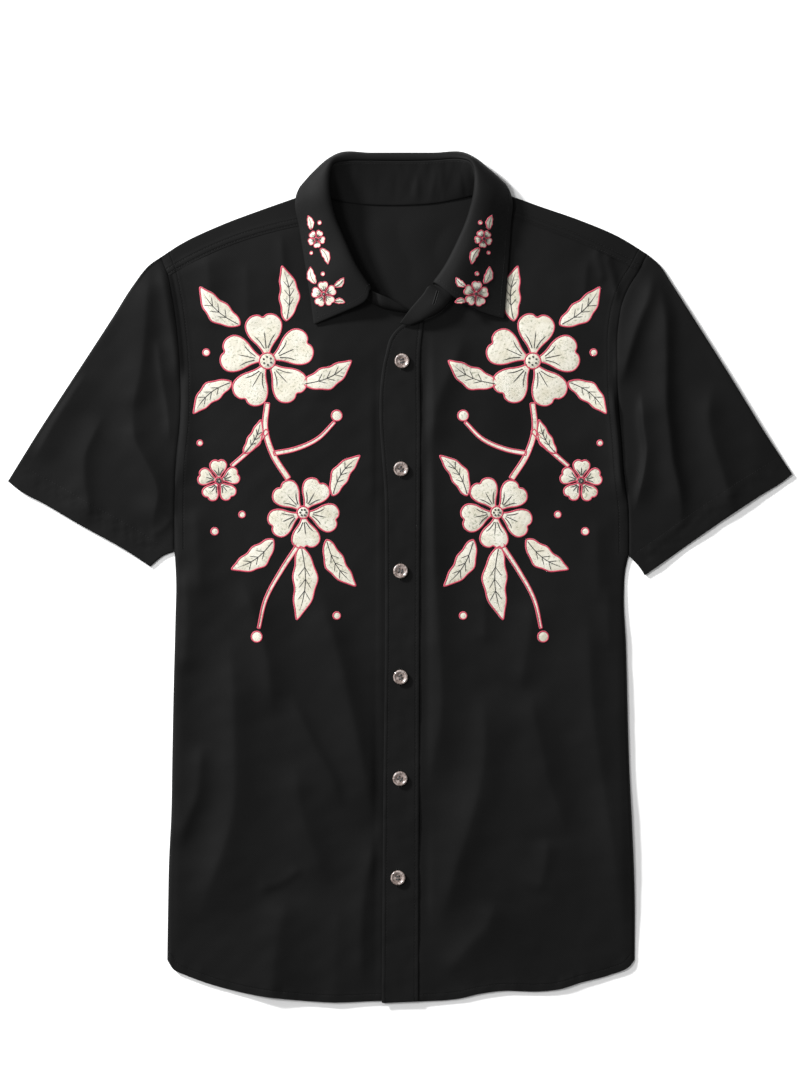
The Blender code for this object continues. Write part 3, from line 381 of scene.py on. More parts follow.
def cut_corners(polygon, times, closed=False):
    """The smooth curve that a control polygon gives when its corners are cut again and again."""
    p = np.array(polygon, float)
    for _ in range(times):
        follow = np.roll(p, -1, axis=0) if closed else p[1:]
        start = p if closed else p[:-1]
        middle = np.stack([0.75 * start + 0.25 * follow, 0.25 * start + 0.75 * follow], axis=1)
        middle = middle.reshape(-1, p.shape[1])
        p = middle if closed else np.vstack([p[:1], middle, p[-1:]])
    return p


def patch(bottom, top, left, right):
    """A grid of points filled in between four edges that share their corners."""
    u = np.linspace(0.0, 1.0, len(bottom))[None, :, None]
    v = np.linspace(0.0, 1.0, len(left))[:, None, None]
    between_rows = (1 - v) * bottom[None] + v * top[None]
    between_columns = (1 - u) * left[:, None] + u * right[:, None]
    corners = ((1 - u) * (1 - v) * bottom[0] + u * (1 - v) * bottom[-1]
               + (1 - u) * v * top[0] + u * v * top[-1])
    return between_rows + between_columns - corners


def smooth_step(low, high, value):
    """0 below low, 1 above high, and a smooth rise between."""
    t = np.clip((value - low) / (high - low), 0.0, 1.0)
    return t * t * (3 - 2 * t)


def edge_x(points, y):
    """x of a cutting line that never turns back in y, at each y."""
    line = smooth_line(points)
    order = np.argsort(line[:, 1])
    return np.interp(y, line[order, 1], line[order, 0])


def cut_line(line, low=-1e9, high=1e9):
    """The part of a line between two levels of y."""
    return line[(line[:, 1] >= low) & (line[:, 1] <= high)]


def raised(plan, height):
    """The plan's points with their heights."""
    return np.concatenate([plan, height[..., None]], axis=-1)


def distance_to(plan, line):
    """Distance from each point of the plan to a finely divided line."""
    flat = plan.reshape(-1, 2)
    found = [np.sqrt(((part[:, None] - line[None]) ** 2).sum(-1).min(1))
             for part in np.array_split(flat, len(flat) // POINTS_AT_ONCE + 1)]
    return np.concatenate(found).reshape(plan.shape[:-1])


# ---- heights of the upper cloth ----
def fold_lift(plan, folds):
    """Height that the folds add at each point of the plan."""
    spots = plan.reshape(-1, 2)
    lift = np.zeros(len(spots))
    for points, height, west, east in folds:
        line = smooth_line(points)
        length = run_lengths(line)[-1]
        reach = np.linspace(0.0, length, int(length / FOLD_STEP) + 2)
        line = at_lengths(line, reach)
        ahead = unit(np.gradient(line, axis=0))
        margin = FOLD_REACH * max(west, east)
        close = np.flatnonzero(((spots > line.min(0) - margin) & (spots < line.max(0) + margin)).all(1))
        for part in np.array_split(close, len(close) // POINTS_AT_ONCE + 1):
            nearest = ((spots[part][:, None] - line[None]) ** 2).sum(-1).argmin(1)
            rest, way = spots[part] - line[nearest], ahead[nearest]
            aside = way[:, 0] * rest[:, 1] - way[:, 1] * rest[:, 0]
            share = (reach[nearest] + (rest * way).sum(1)) / length
            ends = smooth_step(0.0, FOLD_ENDS, share) * smooth_step(1.0, 1 - FOLD_ENDS, share)
            width = np.where(aside < 0, west, east)
            lift[part] += height * ends * np.exp(-(np.abs(aside) / width) ** FOLD_SHARPNESS)
    return lift.reshape(plan.shape[:-1])


def waves(plan, seed, length, height):
    """Soft uneven ripples of about the given wavelength and height, the same on each run."""
    made = np.random.default_rng(seed)
    total = np.zeros(plan.shape[:-1])
    for _ in range(WAVE_COUNT):
        angle, phase = made.uniform(0, math.pi), made.uniform(0, 2 * math.pi)
        turn = 2 * math.pi / (length * made.uniform(0.7, 1.6))
        along = plan[..., 0] * math.cos(angle) + plan[..., 1] * math.sin(angle)
        total += np.sin(turn * along + phase)
    return height * total / math.sqrt(WAVE_COUNT / 2)


def front_height(plan):
    beside_band = smooth_step(CALM_HALF, CALM_HALF + CALM_FADE, np.abs(plan[..., 0] - BAND_MIDDLE))
    return np.maximum(FRONT_LEVEL + FOLD_EASE * fold_lift(plan, FRONT_FOLDS) * beside_band, LOWEST_TOP)


def sleeve_height(plan):
    return np.maximum(FRONT_LEVEL + FOLD_EASE * fold_lift(plan, SLEEVE_FOLDS), LOWEST_TOP)


def seam_relief(distance, allowance, lift, stitches, dip=0.25, drop=0.5):
    """Height near a sewn edge: the allowance lies under the cloth, and the stitches pull it in."""
    relief = lift * smooth_step(allowance + 1.6, allowance - 0.8, distance)
    relief = relief - drop * np.exp(-(distance / 1.3) ** 2)
    for stitch in stitches:
        relief = relief - dip * np.exp(-((distance - stitch) / 1.2) ** 2)
    return relief


def puckers(plan, distance, seed, height, reach):
    """Short creases across a hem, pulled up by its stitches."""
    near = np.exp(-((distance - reach) / (reach * 0.55)) ** 2)
    return near * (waves(plan, seed, 13, height) + waves(plan, seed + 1, 7, height * 0.5))


# ---- cloth pieces ----
ARM_STITCH = 8.7
HEM_STITCH = 6.5
SLEEVE_STITCH = 22.0
YOKE_STITCHES = (1.9, 6.6)
BAND_STITCH = 4.0
LEAF_STITCH = 5.2
STAND_STITCH_SHARE = 0.93   # of the stand's height
ARM_ALLOWANCE = 10          # cloth that lies under the armhole's edge
YOKE_ALLOWANCE = 8
HEM_SEEDS = {"right": 31, "left": 37}
FRONT_SEEDS = {"right": 3, "left": 5}
SLEEVE_SEEDS = {"right": 91, "left": 95}
# The right front's edge lies in a low ridge beside the band
RIDGE_X, RIDGE_HALF, RIDGE_HEIGHT, RIDGE_TOP, RIDGE_FADE = -18.7, 1.6, 0.5, 184, 6


def outer_edge(side, top, side_rows, arm_rows, inset=0.0):
    """The side and the armhole up to a level of y, moved in by the inset."""
    under_y = SIDE[side][-1][1]
    side_y = np.linspace(SIDE[side][0][1], under_y, side_rows + 1)
    arm_y = np.linspace(under_y, top, arm_rows + 1)[1:]
    x = np.concatenate([edge_x(SIDE[side], side_y), edge_x(ARMHOLE[side], arm_y)])
    return np.stack([x + INWARD[side] * inset, np.concatenate([side_y, arm_y])], axis=1)


def front_grid(side, middle):
    """One front: a patch from the rolled side to the middle, and the strip that rolls down."""
    inward = INWARD[side]
    under_y = SIDE[side][-1][1]
    hem = smooth_line(HEM[side])
    seam = smooth_line(YOKE_SEAM[side]) - (0, SEAM_GAP)
    outer = outer_edge(side, YOKE_SEAM[side][0][1], SIDE_ROWS, ARMHOLE_ROWS)
    bottom = evenly(hem, FRONT_COLUMNS, HEM_CORNER)
    top = evenly(seam, FRONT_COLUMNS, SIDE_ROLL)
    inner = outer + (inward * SIDE_ROLL, 0)
    inner[0], inner[-1] = bottom[0], top[0]
    up_middle = evenly(smooth_line(middle)[::-1], len(outer) - 1 - NECK_ROWS)
    right = np.vstack([up_middle, spaced(NECKLINE[side], NECK_ROWS)[::-1][1:]])
    right[-1] = top[-1]
    bottom[-1] = right[0]
    plan = patch(bottom, top, inner, right)
    below = distance_to(plan, hem)
    relief = seam_relief(distance_to(plan, smooth_line(ARMHOLE[side])), ARM_ALLOWANCE, 0.45, (ARM_STITCH,))
    relief = np.where(plan[..., 1] > under_y - 30, relief, 0.0)
    relief = relief - 0.45 * np.exp(-(distance_to(plan, seam) / 1.4) ** 2)
    relief += seam_relief(below, HEM_STITCH + 0.8, 0.35, (HEM_STITCH,), drop=0.3)
    relief += puckers(plan, below, HEM_SEEDS[side], 0.22, HEM_STITCH)
    seed = FRONT_SEEDS[side]
    relief += waves(plan, seed, 70, 0.22) + waves(plan, seed + 10, 26, 0.07)
    if side == "right":
        ridge = RIDGE_HEIGHT * np.exp(-((plan[..., 0] - RIDGE_X) / RIDGE_HALF) ** 2)
        relief += ridge * smooth_step(RIDGE_TOP + RIDGE_FADE, RIDGE_TOP - RIDGE_FADE, plan[..., 1])
    height = front_height(plan) + relief
    if side == "left":
        height = height + LAP_RISE * np.exp(-np.maximum(plan[..., 0] - BAND_INNER[1][0], 0) / LAP_REACH)
    panel = raised(plan, np.maximum(height, LOWEST_TOP))

    below_arm = outer[:, 1] < under_y - 1
    rolled = np.where(below_arm, 1.0, ARM_ROLL * smooth_step(ARM_ROLL_FROM, ARM_ROLL_FULL, outer[:, 1]))
    foot = np.where(below_arm, THIN / 2, sleeve_height(outer))
    edge = outer + np.stack([inward * (SEAM_GAP + rolled * THIN / 2), np.zeros(len(outer))], axis=1)
    strip = []
    for step in range(ROLL_STEPS, 0, -1):
        flat = step / ROLL_STEPS
        reach = (1 - rolled) * flat + rolled * math.sin(flat * QUARTER)
        drop = (1 - rolled) * flat + rolled * (1 - math.cos(flat * QUARTER))
        level = panel[:, 0, 2] + (foot - panel[:, 0, 2]) * drop
        strip.append(raised(inner + (edge - inner) * reach[:, None], level))
    return np.concatenate([np.stack(strip, axis=1), panel], axis=1)


def band_grid():
    """The buttonhole band, lying over both fronts."""
    inner = spaced(BAND_INNER, BAND_ROWS)
    free = spaced(BAND_FREE, BAND_ROWS)
    across = np.linspace(0.0, 1.0, BAND_COLUMNS + 1)[None, :, None]
    plan = (1 - across) * free[:, None] + across * inner[:, None]
    edge = np.minimum(distance_to(plan, smooth_line(BAND_FREE)), distance_to(plan, smooth_line(BAND_INNER)))
    relief = 0.22 * smooth_step(6.0, 3.4, edge) - 0.2 * np.exp(-((edge - BAND_STITCH) / 1.1) ** 2)
    relief -= 0.35 * np.exp(-(edge / 0.9) ** 2)
    relief += waves(plan, 51, 30, 0.10) + waves(plan, 52, 12, 0.05)
    return raised(plan, front_height(plan) + BAND_LEVEL + relief)


def yoke_grids():
    """The yoke: its back, flat, and the strip over each shoulder."""
    starts, grids = {}, []
    for side in SIDES:
        fold = spaced(SHOULDER[side], YOKE_COLUMNS)
        seam = spaced(YOKE_SEAM[side], YOKE_COLUMNS) + (0, SEAM_GAP)
        down = unit(seam - fold)
        turn = (front_height(fold + down * SIDE_ROLL) - CLOTH / 2) / 2
        centre = fold + down * (turn + CLOTH / 2)[:, None]
        rows = []
        for angle in np.linspace(0, math.pi, ROLL_BENDS + 1):
            spot = centre - down * (turn * math.sin(angle))[:, None]
            rows.append(raised(spot, CLOTH / 2 + turn * (1 - math.cos(angle))))
        line, arm = smooth_line(YOKE_SEAM[side]), smooth_line(ARMHOLE[side])
        for share in np.linspace(0, 1, YOKE_FRONT_ROWS + 1)[1:]:
            spot = centre + (seam - centre) * share
            relief = seam_relief(distance_to(spot, line), YOKE_ALLOWANCE, 0.4, YOKE_STITCHES, 0.2, 0.25)
            relief += seam_relief(distance_to(spot, arm), ARM_ALLOWANCE, 0.4, (ARM_STITCH,))
            relief *= smooth_step(0.0, 0.35, share)
            rows.append(raised(spot, front_height(spot) + relief))
        grids.append(np.stack(rows))
        starts[side] = centre
    neck = spaced(BACK_NECK, NECK_COLUMNS)
    neck[:, 1] += NECK_TUCK * np.sin(np.linspace(0, math.pi, len(neck))) ** 0.5
    top = np.vstack([starts["right"], neck[1:-1], starts["left"][::-1]])
    edges = []
    for side, end in zip(SIDES, (top[0], top[-1])):
        y = np.linspace(BACK_SEAM, end[1], YOKE_BACK_ROWS + 1)
        edges.append(np.stack([edge_x(ARMHOLE[side], y) + INWARD[side] * BACK_INSET, y], axis=1))
        edges[-1][-1] = end
    right, left = edges
    share = run_lengths(top) / run_lengths(top)[-1]
    plan = patch(right[0] + (left[0] - right[0]) * share[:, None], top, right, left)
    inside = smooth_step(0, 25, distance_to(plan, top)) * smooth_step(0, 15, plan[..., 1] - BACK_SEAM)
    grids.append(raised(plan, CLOTH / 2 + np.abs(waves(plan, 71, 60, 0.35)) * inside))
    return grids


def back_grid():
    """The back, lying on the surface inside the rolled sides, with soft ripples off it."""
    hem = np.vstack([smooth_line(HEM["right"]), smooth_line(HEM["left"])[::-1]])
    hem = hem[np.abs(hem[:, 0]) < abs(SIDE["right"][0][0]) - 5] + (0, BACK_HEM_INSET)
    hem = hem[np.argsort(hem[:, 0])]
    right, left = (outer_edge(side, BACK_SEAM, BACK_SIDE_ROWS, BACK_ARM_ROWS, BACK_INSET) for side in SIDES)
    bottom = evenly(np.vstack([right[0], hem, left[0]]), BACK_COLUMNS)
    top = right[-1] + (left[-1] - right[-1]) * np.linspace(0, 1, BACK_COLUMNS + 1)[:, None]
    plan = patch(bottom, top, right, left)
    inside = smooth_step(0, 30, distance_to(plan, np.vstack([bottom, top, right, left])))
    ripple = np.abs(waves(plan, 81, 90, 0.4) + waves(plan, 82, 30, 0.08)) * inside
    return raised(plan, CLOTH / 2 + np.minimum(ripple, 0.9))


def sleeve_grid(side):
    """A sleeve as rings from the armhole to the hem, each a flattened loop."""
    plan = patch(spaced(ARMHOLE[side][::-1], SLEEVE_ACROSS), spaced(SLEEVE_HEM[side], SLEEVE_ACROSS),
                 spaced(OVERARM[side], SLEEVE_STATIONS), spaced(UNDERARM[side], SLEEVE_STATIONS))
    hem_line, arm_line = smooth_line(SLEEVE_HEM[side]), smooth_line(ARMHOLE[side])
    seed = SLEEVE_SEEDS[side]
    rings = []
    for line in plan:
        length = run_lengths(line)[-1]
        near = sleeve_height(at_lengths(line, [SIDE_ROLL, length - SIDE_ROLL]))
        turn = (near - CLOTH / 2) / 2
        start, end = turn[0] + CLOTH / 2, length - turn[1] - CLOTH / 2
        back = np.linspace(start, end, SLEEVE_BACK_STEPS + 1)
        front = np.linspace(end, start, SLEEVE_ACROSS + 1)
        bend = np.linspace(0, math.pi, SLEEVE_BENDS + 1)[1:-1]
        run = np.concatenate([back, end + turn[1] * np.sin(bend), front, start - turn[0] * np.sin(bend)])
        upper = at_lengths(line, front)
        below, arm = distance_to(upper, hem_line), distance_to(upper, arm_line)
        edges = smooth_step(0, 12, front - start) * smooth_step(0, 12, end - front)
        relief = seam_relief(below, SLEEVE_STITCH + 0.6, 0.15, (SLEEVE_STITCH,), dip=0.1, drop=0.15)
        relief += puckers(upper, below, seed, 0.13, SLEEVE_STITCH * 0.7)
        relief += waves(upper, seed + 3, 55, 0.2) + waves(upper, seed + 4, 22, 0.06)
        relief = relief * edges - 0.5 * np.exp(-(arm / 1.6) ** 2)
        level = np.concatenate([
            np.full(len(back), CLOTH / 2),
            CLOTH / 2 + turn[1] * (1 - np.cos(bend)),
            np.maximum(sleeve_height(upper) + relief, LOWEST_TOP - 0.4),
            CLOTH / 2 + turn[0] * (1 + np.cos(bend)),
        ])
        rings.append(raised(at_lengths(line, run), level))
    return np.stack(rings)


def collar_sections():
    """Each section of the collar, as points along the stand and points along the leaf."""
    rows = [[value for point in row[:-1] for value in point] + [row[-1]] for row in COLLAR]
    stand, leaf = [], []
    for row in spaced(rows, COLLAR_COLUMNS):
        curve = cut_corners(row[:-1].reshape(-1, 3), CORNER_CUTS)
        stand.append(at_lengths(curve, np.linspace(0.0, row[-1], STAND_ROWS + 1)))
        leaf.append(evenly(curve, LEAF_ROWS, row[-1]))
    stand, leaf = np.array(stand), np.array(leaf)
    leaf[..., 2] = np.maximum(leaf[..., 2], COLLAR_WALL / 2)
    return stand, leaf


def stand_end(rows, neighbour):
    """The end of the stand from its foot, shoulder and top points, up to its neighbouring section."""
    sections = [evenly(cut_corners(row, CORNER_CUTS), STAND_ROWS) for row in rows]
    flat = np.array([section.ravel() for section in (*sections, neighbour)])
    return spaced(flat, END_COLUMNS).reshape(-1, STAND_ROWS + 1, 3)


def stand_grid(stand):
    """The whole stand, from the right end under the lap to the left end with the buttonhole."""
    stand = stand.copy()
    for k in range(1, SPREAD_SECTIONS + 1):
        foot, top = stand[-k][0], stand[-k][-1]
        spread = evenly(cut_corners([foot, foot + SPREAD_SHOULDER, top], CORNER_CUTS), STAND_ROWS)
        share = smooth_step(SPREAD_SECTIONS + 1, 1, k)
        stand[-k] = stand[-k] * (1 - share) + spread * share
    first = stand_end(STAND_END_RIGHT, stand[0])
    last = stand_end(STAND_END_LEFT[::-1], stand[-1])[::-1]
    return np.concatenate([first[:-1], stand, last[1:]])


def grid_normals(grid):
    """Unit normals of a grid's surface at its points."""
    return unit(np.cross(np.gradient(grid, axis=0), np.gradient(grid, axis=1)))


def wrinkled_stand(grid):
    """The stand with the short upright ripples of its inside, where it leans back."""
    run = run_lengths(grid[:, 8])
    middle = np.searchsorted(grid[:, 8, 0], 0.0)
    along = (run - run[middle])[:, None] * np.ones(grid.shape[1])
    up = np.linspace(0.0, 1.0, grid.shape[1])[None, :] * np.ones((len(grid), 1))
    spots = np.stack([along * 3.2, up * 26], axis=-1)
    strength = 0.35 + 0.65 * smooth_step(-12.0, 8.0, along)
    strength = strength * smooth_step(95.0, 70.0, np.abs(along)) * np.sin(math.pi * up) ** 0.7
    ripple = (waves(spots, 61, 30, 0.30) + waves(spots, 62, 14, 0.10)) * strength
    return grid + grid_normals(grid) * ripple[..., None]


# ---- meshes ----
def add_object(name, data):
    """A new object in the scene."""
    thing = bpy.data.objects.new(name, data)
    bpy.context.scene.collection.objects.link(thing)
    return thing


def new_mesh(name, points, faces):
    """A new mesh from points in millimetres."""
    mesh = bpy.data.meshes.new(name)
    mesh.from_pydata((np.asarray(points, float) * MM).tolist(), [], [list(map(int, f)) for f in faces])
    mesh.update()
    return mesh


def mesh_object(name, points, faces, look):
    """A new smooth-shaded object from points in millimetres."""
    mesh = new_mesh(name, points, faces)
    mesh.materials.append(look)
    mesh.shade_smooth()
    return add_object(name, mesh)


def grid_faces(rows, columns, closed=False, first=0):
    """Quads over a grid of points that are numbered row by row."""
    across = columns if closed else columns - 1
    i, j = np.meshgrid(np.arange(rows - 1), np.arange(across), indexing="ij")
    k = (j + 1) % columns
    corners = [i * columns + j, i * columns + k, (i + 1) * columns + k, (i + 1) * columns + j]
    return np.stack(corners, axis=-1).reshape(-1, 4) + first


def face_outward(mesh, weld=0.0):
    """Welds the points that are closer than this many millimetres, and turns the faces outward."""
    shape = bmesh.new()
    shape.from_mesh(mesh)
    if weld:
        bmesh.ops.remove_doubles(shape, verts=shape.verts, dist=weld * MM)
    bmesh.ops.recalc_face_normals(shape, faces=shape.faces)
    shape.to_mesh(mesh)
    shape.free()


def apply_modifiers(thing, sharp=None):
    """The object's mesh after its modifiers, with edges over the sharp angle in degrees kept sharp."""
    depsgraph = bpy.context.evaluated_depsgraph_get()
    mesh = bpy.data.meshes.new_from_object(thing.evaluated_get(depsgraph))
    thing.modifiers.clear()
    thing.data = mesh
    mesh.shade_smooth()
    if sharp:
        mesh.set_sharp_from_angle(angle=math.radians(sharp))


def seam_distances(grid, first, second):
    """Distances in millimetres of a grid's points to the smooth lines through two rows of points."""
    lines = smooth_line(first), smooth_line(second)
    return np.stack([distance_to(grid[..., :2], line) for line in lines], axis=-1)


def write_layer(mesh, name, values):
    """A coordinate layer with a pair of values for each point of the mesh."""
    layer = mesh.uv_layers.new(name=name)
    corners = np.empty(len(mesh.loops), int)
    mesh.loops.foreach_get("vertex_index", corners)
    layer.data.foreach_set("uv", values[corners].ravel())


def cloth_shell(name, grids, wall, look, closed=False, rounded=False, seams=None):
    """A piece of cloth: a thin shell over one or more grids, welded where they share an edge."""
    points, faces, first = [], [], 0
    for grid in grids:
        rows, columns = grid.shape[:2]
        points.append(grid.reshape(-1, 3))
        faces.append(grid_faces(rows, columns, closed, first))
        first += rows * columns
    thing = mesh_object(name, np.vstack(points), np.vstack(faces), look)
    if seams is not None:
        write_layer(thing.data, "seams", np.vstack([pairs.reshape(-1, 2) for pairs in seams]))
    face_outward(thing.data, WELD)
    shell = thing.modifiers.new("wall", "SOLIDIFY")
    shell.thickness = wall * MM
    shell.offset = 0.0
    if rounded:
        thing.modifiers.new("round", "SUBSURF").levels = 1
        thing.modifiers["round"].render_levels = 1
    apply_modifiers(thing, None if rounded else CLOTH_SHARP)
    return thing


def finish_piece(thing, replaces=()):
    """Puts a piece on the shirt's one body and hides the CAD solids that it replaces."""
    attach(thing, "root")
    if replaces:
        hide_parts(*replaces)
    return thing


# ---- laying things on the cloth ----
DOWN = Vector((0, 0, -1))
ABOVE = 0.2            # metres; each ray starts here
CORD_SECTION = [(1.0, 0.0), (0.62, 0.8), (0.0, 1.0), (-0.62, 0.8), (-1.0, 0.0), (0.0, -0.3)]


def surface_of(*things):
    """Search trees of the pieces' surfaces."""
    depsgraph = bpy.context.evaluated_depsgraph_get()
    return [BVHTree.FromObject(thing, depsgraph) for thing in things]


def lay(trees, plan):
    """The topmost surface point under each point of the plan, in millimetres, and its normal."""
    spots, normals = [], []
    level, up = FRONT_LEVEL, (0.0, 0.0, 1.0)
    for x, y in plan:
        casts = [tree.ray_cast(Vector((x * MM, y * MM, ABOVE)), DOWN) for tree in trees]
        hits = [cast[:2] for cast in casts if cast[0] is not None]
        spot = np.array((x, y, level))
        if hits:
            hit, normal = max(hits, key=lambda found: found[0].z)
            spot, up = np.array(hit) / MM, np.array(normal if normal.z > 0 else -normal)
            level = spot[2]
        spots.append(spot)
        normals.append(up)
    return np.array(spots), np.array(normals)


def sideways(spots, normals):
    """Unit directions on a surface, to the side of a line that lies on it."""
    return unit(np.cross(unit(np.gradient(spots, axis=0)), normals))


class Pile:
    """Points and faces gathered for one mesh."""

    def __init__(self):
        self.points, self.faces, self.count = [], [], 0

    def add(self, grid):
        """A closed skin over a grid of points."""
        rows, columns = grid.shape[:2]
        self.add_faces(grid.reshape(-1, 3), grid_faces(rows, columns, closed=True))

    def add_faces(self, points, faces):
        self.points.append(np.asarray(points))
        self.faces.extend((np.asarray(faces) + self.count).tolist())
        self.count += len(points)

    def rope(self, section, spots, aside, up, wide, high, closed=False):
        """A rope along a line, with its section stretched to its half width and height at each point."""
        ring = [spots + aside * np.reshape(a * wide, (-1, 1)) + up * np.reshape(b * high, (-1, 1))
                for a, b in section]
        grid = np.stack(ring, axis=1)
        self.add(np.concatenate([grid, grid[:1]]) if closed else grid)

    def sweep(self, spots, normals, widths, heights, closed=False):
        """A low rounded cord along a line on a surface."""
        self.rope(CORD_SECTION, spots, sideways(spots, normals), normals, widths / 2, heights, closed)

    def stitches(self, spots, normals, length, pitch, width, height, sink=0.05):
        """A row of separate stitches along a line on a surface."""
        reach = run_lengths(spots)
        total = max(1, int(reach[-1] / pitch))
        shares = np.array((-0.5, -0.32, 0.0, 0.32, 0.5))
        sizes = np.array((0.25, 0.85, 1.0, 0.85, 0.25))
        for number in range(total):
            at = (number + 0.5) * reach[-1] / total + shares * length
            line, up = (np.stack([np.interp(at, reach, values[:, k]) for k in range(3)], axis=1)
                        for values in (spots, normals))
            line = line + up * (height * (sizes - 0.5) - sink)[:, None]
            wide, high = sizes * width / 2, sizes * height / 2
            self.rope(circle(0, 0, 1, 5), line, sideways(line, up), up, wide, high)

    def object(self, name, look):
        return mesh_object(name, np.vstack(self.points), self.faces, look)


# ---- materials ----
def grey(value):
    return (value, value, value)


class Look:
    """A material that is put together from nodes. Sizes are in metres."""

    def __init__(self, name, roughness, sheen=0.0, specular=0.5):
        self.material = bpy.data.materials.new(name)
        self.material.use_nodes = True
        self.tree = self.material.node_tree
        self.shader = self.tree.nodes["Principled BSDF"]
        for socket, value in (("Roughness", roughness), ("Sheen Weight", sheen), ("Sheen Roughness", 0.45),
                              ("Specular IOR Level", specular)):
            self.shader.inputs[socket].default_value = value
        self.where = self.node("TexCoord").outputs["Object"]

    def fill(self, socket, value):
        """Links a socket to another one, or gives it a value or a colour."""
        if isinstance(value, bpy.types.NodeSocket):
            self.tree.links.new(value, socket)
        else:
            socket.default_value = (*value, 1.0) if isinstance(value, tuple) else value

    def node(self, kind, **inputs):
        """A new node with its inputs filled, by name or as i0, i1 and so on."""
        made = self.tree.nodes.new(f"ShaderNode{kind}")
        for name, value in inputs.items():
            self.fill(made.inputs[int(name[1:]) if name[1:].isdigit() else name], value)
        return made

    def layer(self, name):
        """The pair of values that the mesh keeps for each of its points."""
        made = self.node("UVMap")
        made.uv_map = name
        return made.outputs["UV"]

    def wave(self, period, direction, where=None):
        where = self.where if where is None else where
        made = self.node("TexWave", Vector=where, Scale=math.pi / 10 / period, Distortion=0.0)
        made.bands_direction = direction
        return made.outputs["Fac"]

    def noise(self, size, detail=2.0, swirl=0.0):
        made = self.node("TexNoise", Vector=self.where, Scale=1 / size, Detail=detail, Distortion=swirl)
        return made.outputs["Fac"]

    def ramp(self, factor, *stops):
        made = self.node("ValToRGB", Fac=factor)
        elements = made.color_ramp.elements
        while len(elements) < len(stops):
            elements.new(0.5)
        for element, (place, colour) in zip(elements, stops):
            element.position = place
            element.color = (*colour, 1.0)
        return made.outputs["Color"]

    def calc(self, operation, first, second=0.0):
        made = self.node("Math", i0=first, i1=second)
        made.operation = operation
        return made.outputs[0]

    def mix(self, factor, first, second, blend="MULTIPLY"):
        made = self.node("Mix")
        made.data_type, made.blend_type = "RGBA", blend
        for place, value in ((0, factor), (6, first), (7, second)):
            self.fill(made.inputs[place], value)
        return made.outputs[2]

    def done(self, colour, height, distance, strength):
        """Gives the shader its colour and its bump, and gives back the bump."""
        self.fill(self.shader.inputs["Base Color"], colour)
        made = self.node("Bump", Height=height, Distance=distance, Strength=strength)
        self.fill(self.shader.inputs["Normal"], made.outputs["Normal"])
        return made

    def seam_dips(self, marks):
        """Where a seam or a row of stitches pulls the cloth in: 0 off it, up to its depth in its middle.
        The same value sets the bump's dip and how far painted shade darkens the colour.
        """
        pair = self.node("SeparateXYZ", Vector=self.layer("seams"))
        total = 0.0
        for channel, distance, width, depth in marks:
            off = self.calc("DIVIDE", self.calc("SUBTRACT", pair.outputs[channel], distance), width)
            bell = self.calc("EXPONENT", self.calc("MULTIPLY", self.calc("MULTIPLY", off, off), -1.0))
            total = self.calc("MAXIMUM", total, self.calc("MULTIPLY", bell, depth))
        return total


def cloth_look(name, low, high, marks=(), specular=0.06):
    """Fine black cloth: a tight weave with painted shade between its threads, a slightly uneven dye and a
    soft bloom, and painted shade where its seams and stitches pull it in.
    """
    look = Look(name, 0.60, specular=specular)
    weave = look.calc("MULTIPLY", look.wave(0.00055, "X"), look.wave(0.00055, "Y"))
    weave = look.calc("ADD", weave, look.wave(0.0011, "DIAGONAL"))
    weave = look.calc("ADD", weave, look.calc("MULTIPLY", look.noise(0.0016, 3.0), 0.7))
    dye = look.ramp(look.noise(0.09, 4.0), (0.3, grey(low)), (0.7, grey(high)))
    # Painted shade: the weave's colour is darker where its bump is low, between the threads
    thread = look.ramp(weave, (0.3, grey(0.75)), (1.6, grey(1.0)))
    fuzz = look.ramp(look.noise(0.0007, 1.0), (0.35, grey(0.86)), (0.7, grey(1.0)))
    colour = look.mix(1.0, look.mix(1.0, dye, thread), fuzz)
    if marks:
        dips_and_shade = look.seam_dips(marks)
        # Painted shade: along seams and stitch rows the colour is mixed towards near black, as deep as the
        # dip
        colour = look.mix(dips_and_shade, colour, grey(low * 0.15), "MIX")
    fine = look.done(colour, weave, 0.00012, 0.35)
    if marks:
        deep = look.node("Bump", Height=look.calc("MULTIPLY", dips_and_shade, -1.0), Distance=0.0006, Strength=0.8)
        look.fill(fine.inputs["Normal"], deep.outputs["Normal"])
    return look.material


def thread_look(name, low, high, sheen=0.15, specular=0.5):
    """Twisted thread: fine ridges across it, with painted shade in the grooves between them, and a soft
    sheen.
    """
    look = Look(name, 0.55, sheen, specular)
    ply = look.wave(0.0006, "DIAGONAL")
    colour = look.ramp(look.noise(0.0012), (0.3, low), (0.7, high))
    # Painted shade: darker in the grooves of the twist, where the bump is low
    colour = look.mix(0.35, colour, look.ramp(ply, (0.1, grey(0.55)), (0.8, grey(1.0))))
    look.done(colour, ply, 0.0001, 0.4)
    return look.material


def embroidery_look(name):
    """Cream filling stitches with grey-green flecks, along each shape's own direction, with painted shade
    in the grooves between the stitch rows.
    """
    look = Look(name, 0.62, 0.12)
    along = look.layer("stitch")
    lines, ends = look.wave(0.00075, "Y", along), look.wave(0.0042, "X", along)
    cream = look.ramp(look.noise(0.011), (0.3, (0.54, 0.51, 0.41)), (0.7, (0.64, 0.62, 0.54)))
    flecks = look.ramp(look.noise(0.0021, 2.5), (0.56, grey(1.0)), (0.66, (0.52, 0.56, 0.50)))
    # Painted shade: darker in the grooves between the stitch rows, where the bump is low
    groove_shade = look.ramp(lines, (0.0, grey(0.72)), (0.5, grey(1.0)))
    colour = look.mix(0.8, look.mix(0.85, cream, flecks), groove_shade)
    look.done(colour, look.calc("ADD", lines, look.calc("MULTIPLY", ends, 0.4)), 0.0002, 0.6)
    return look.material


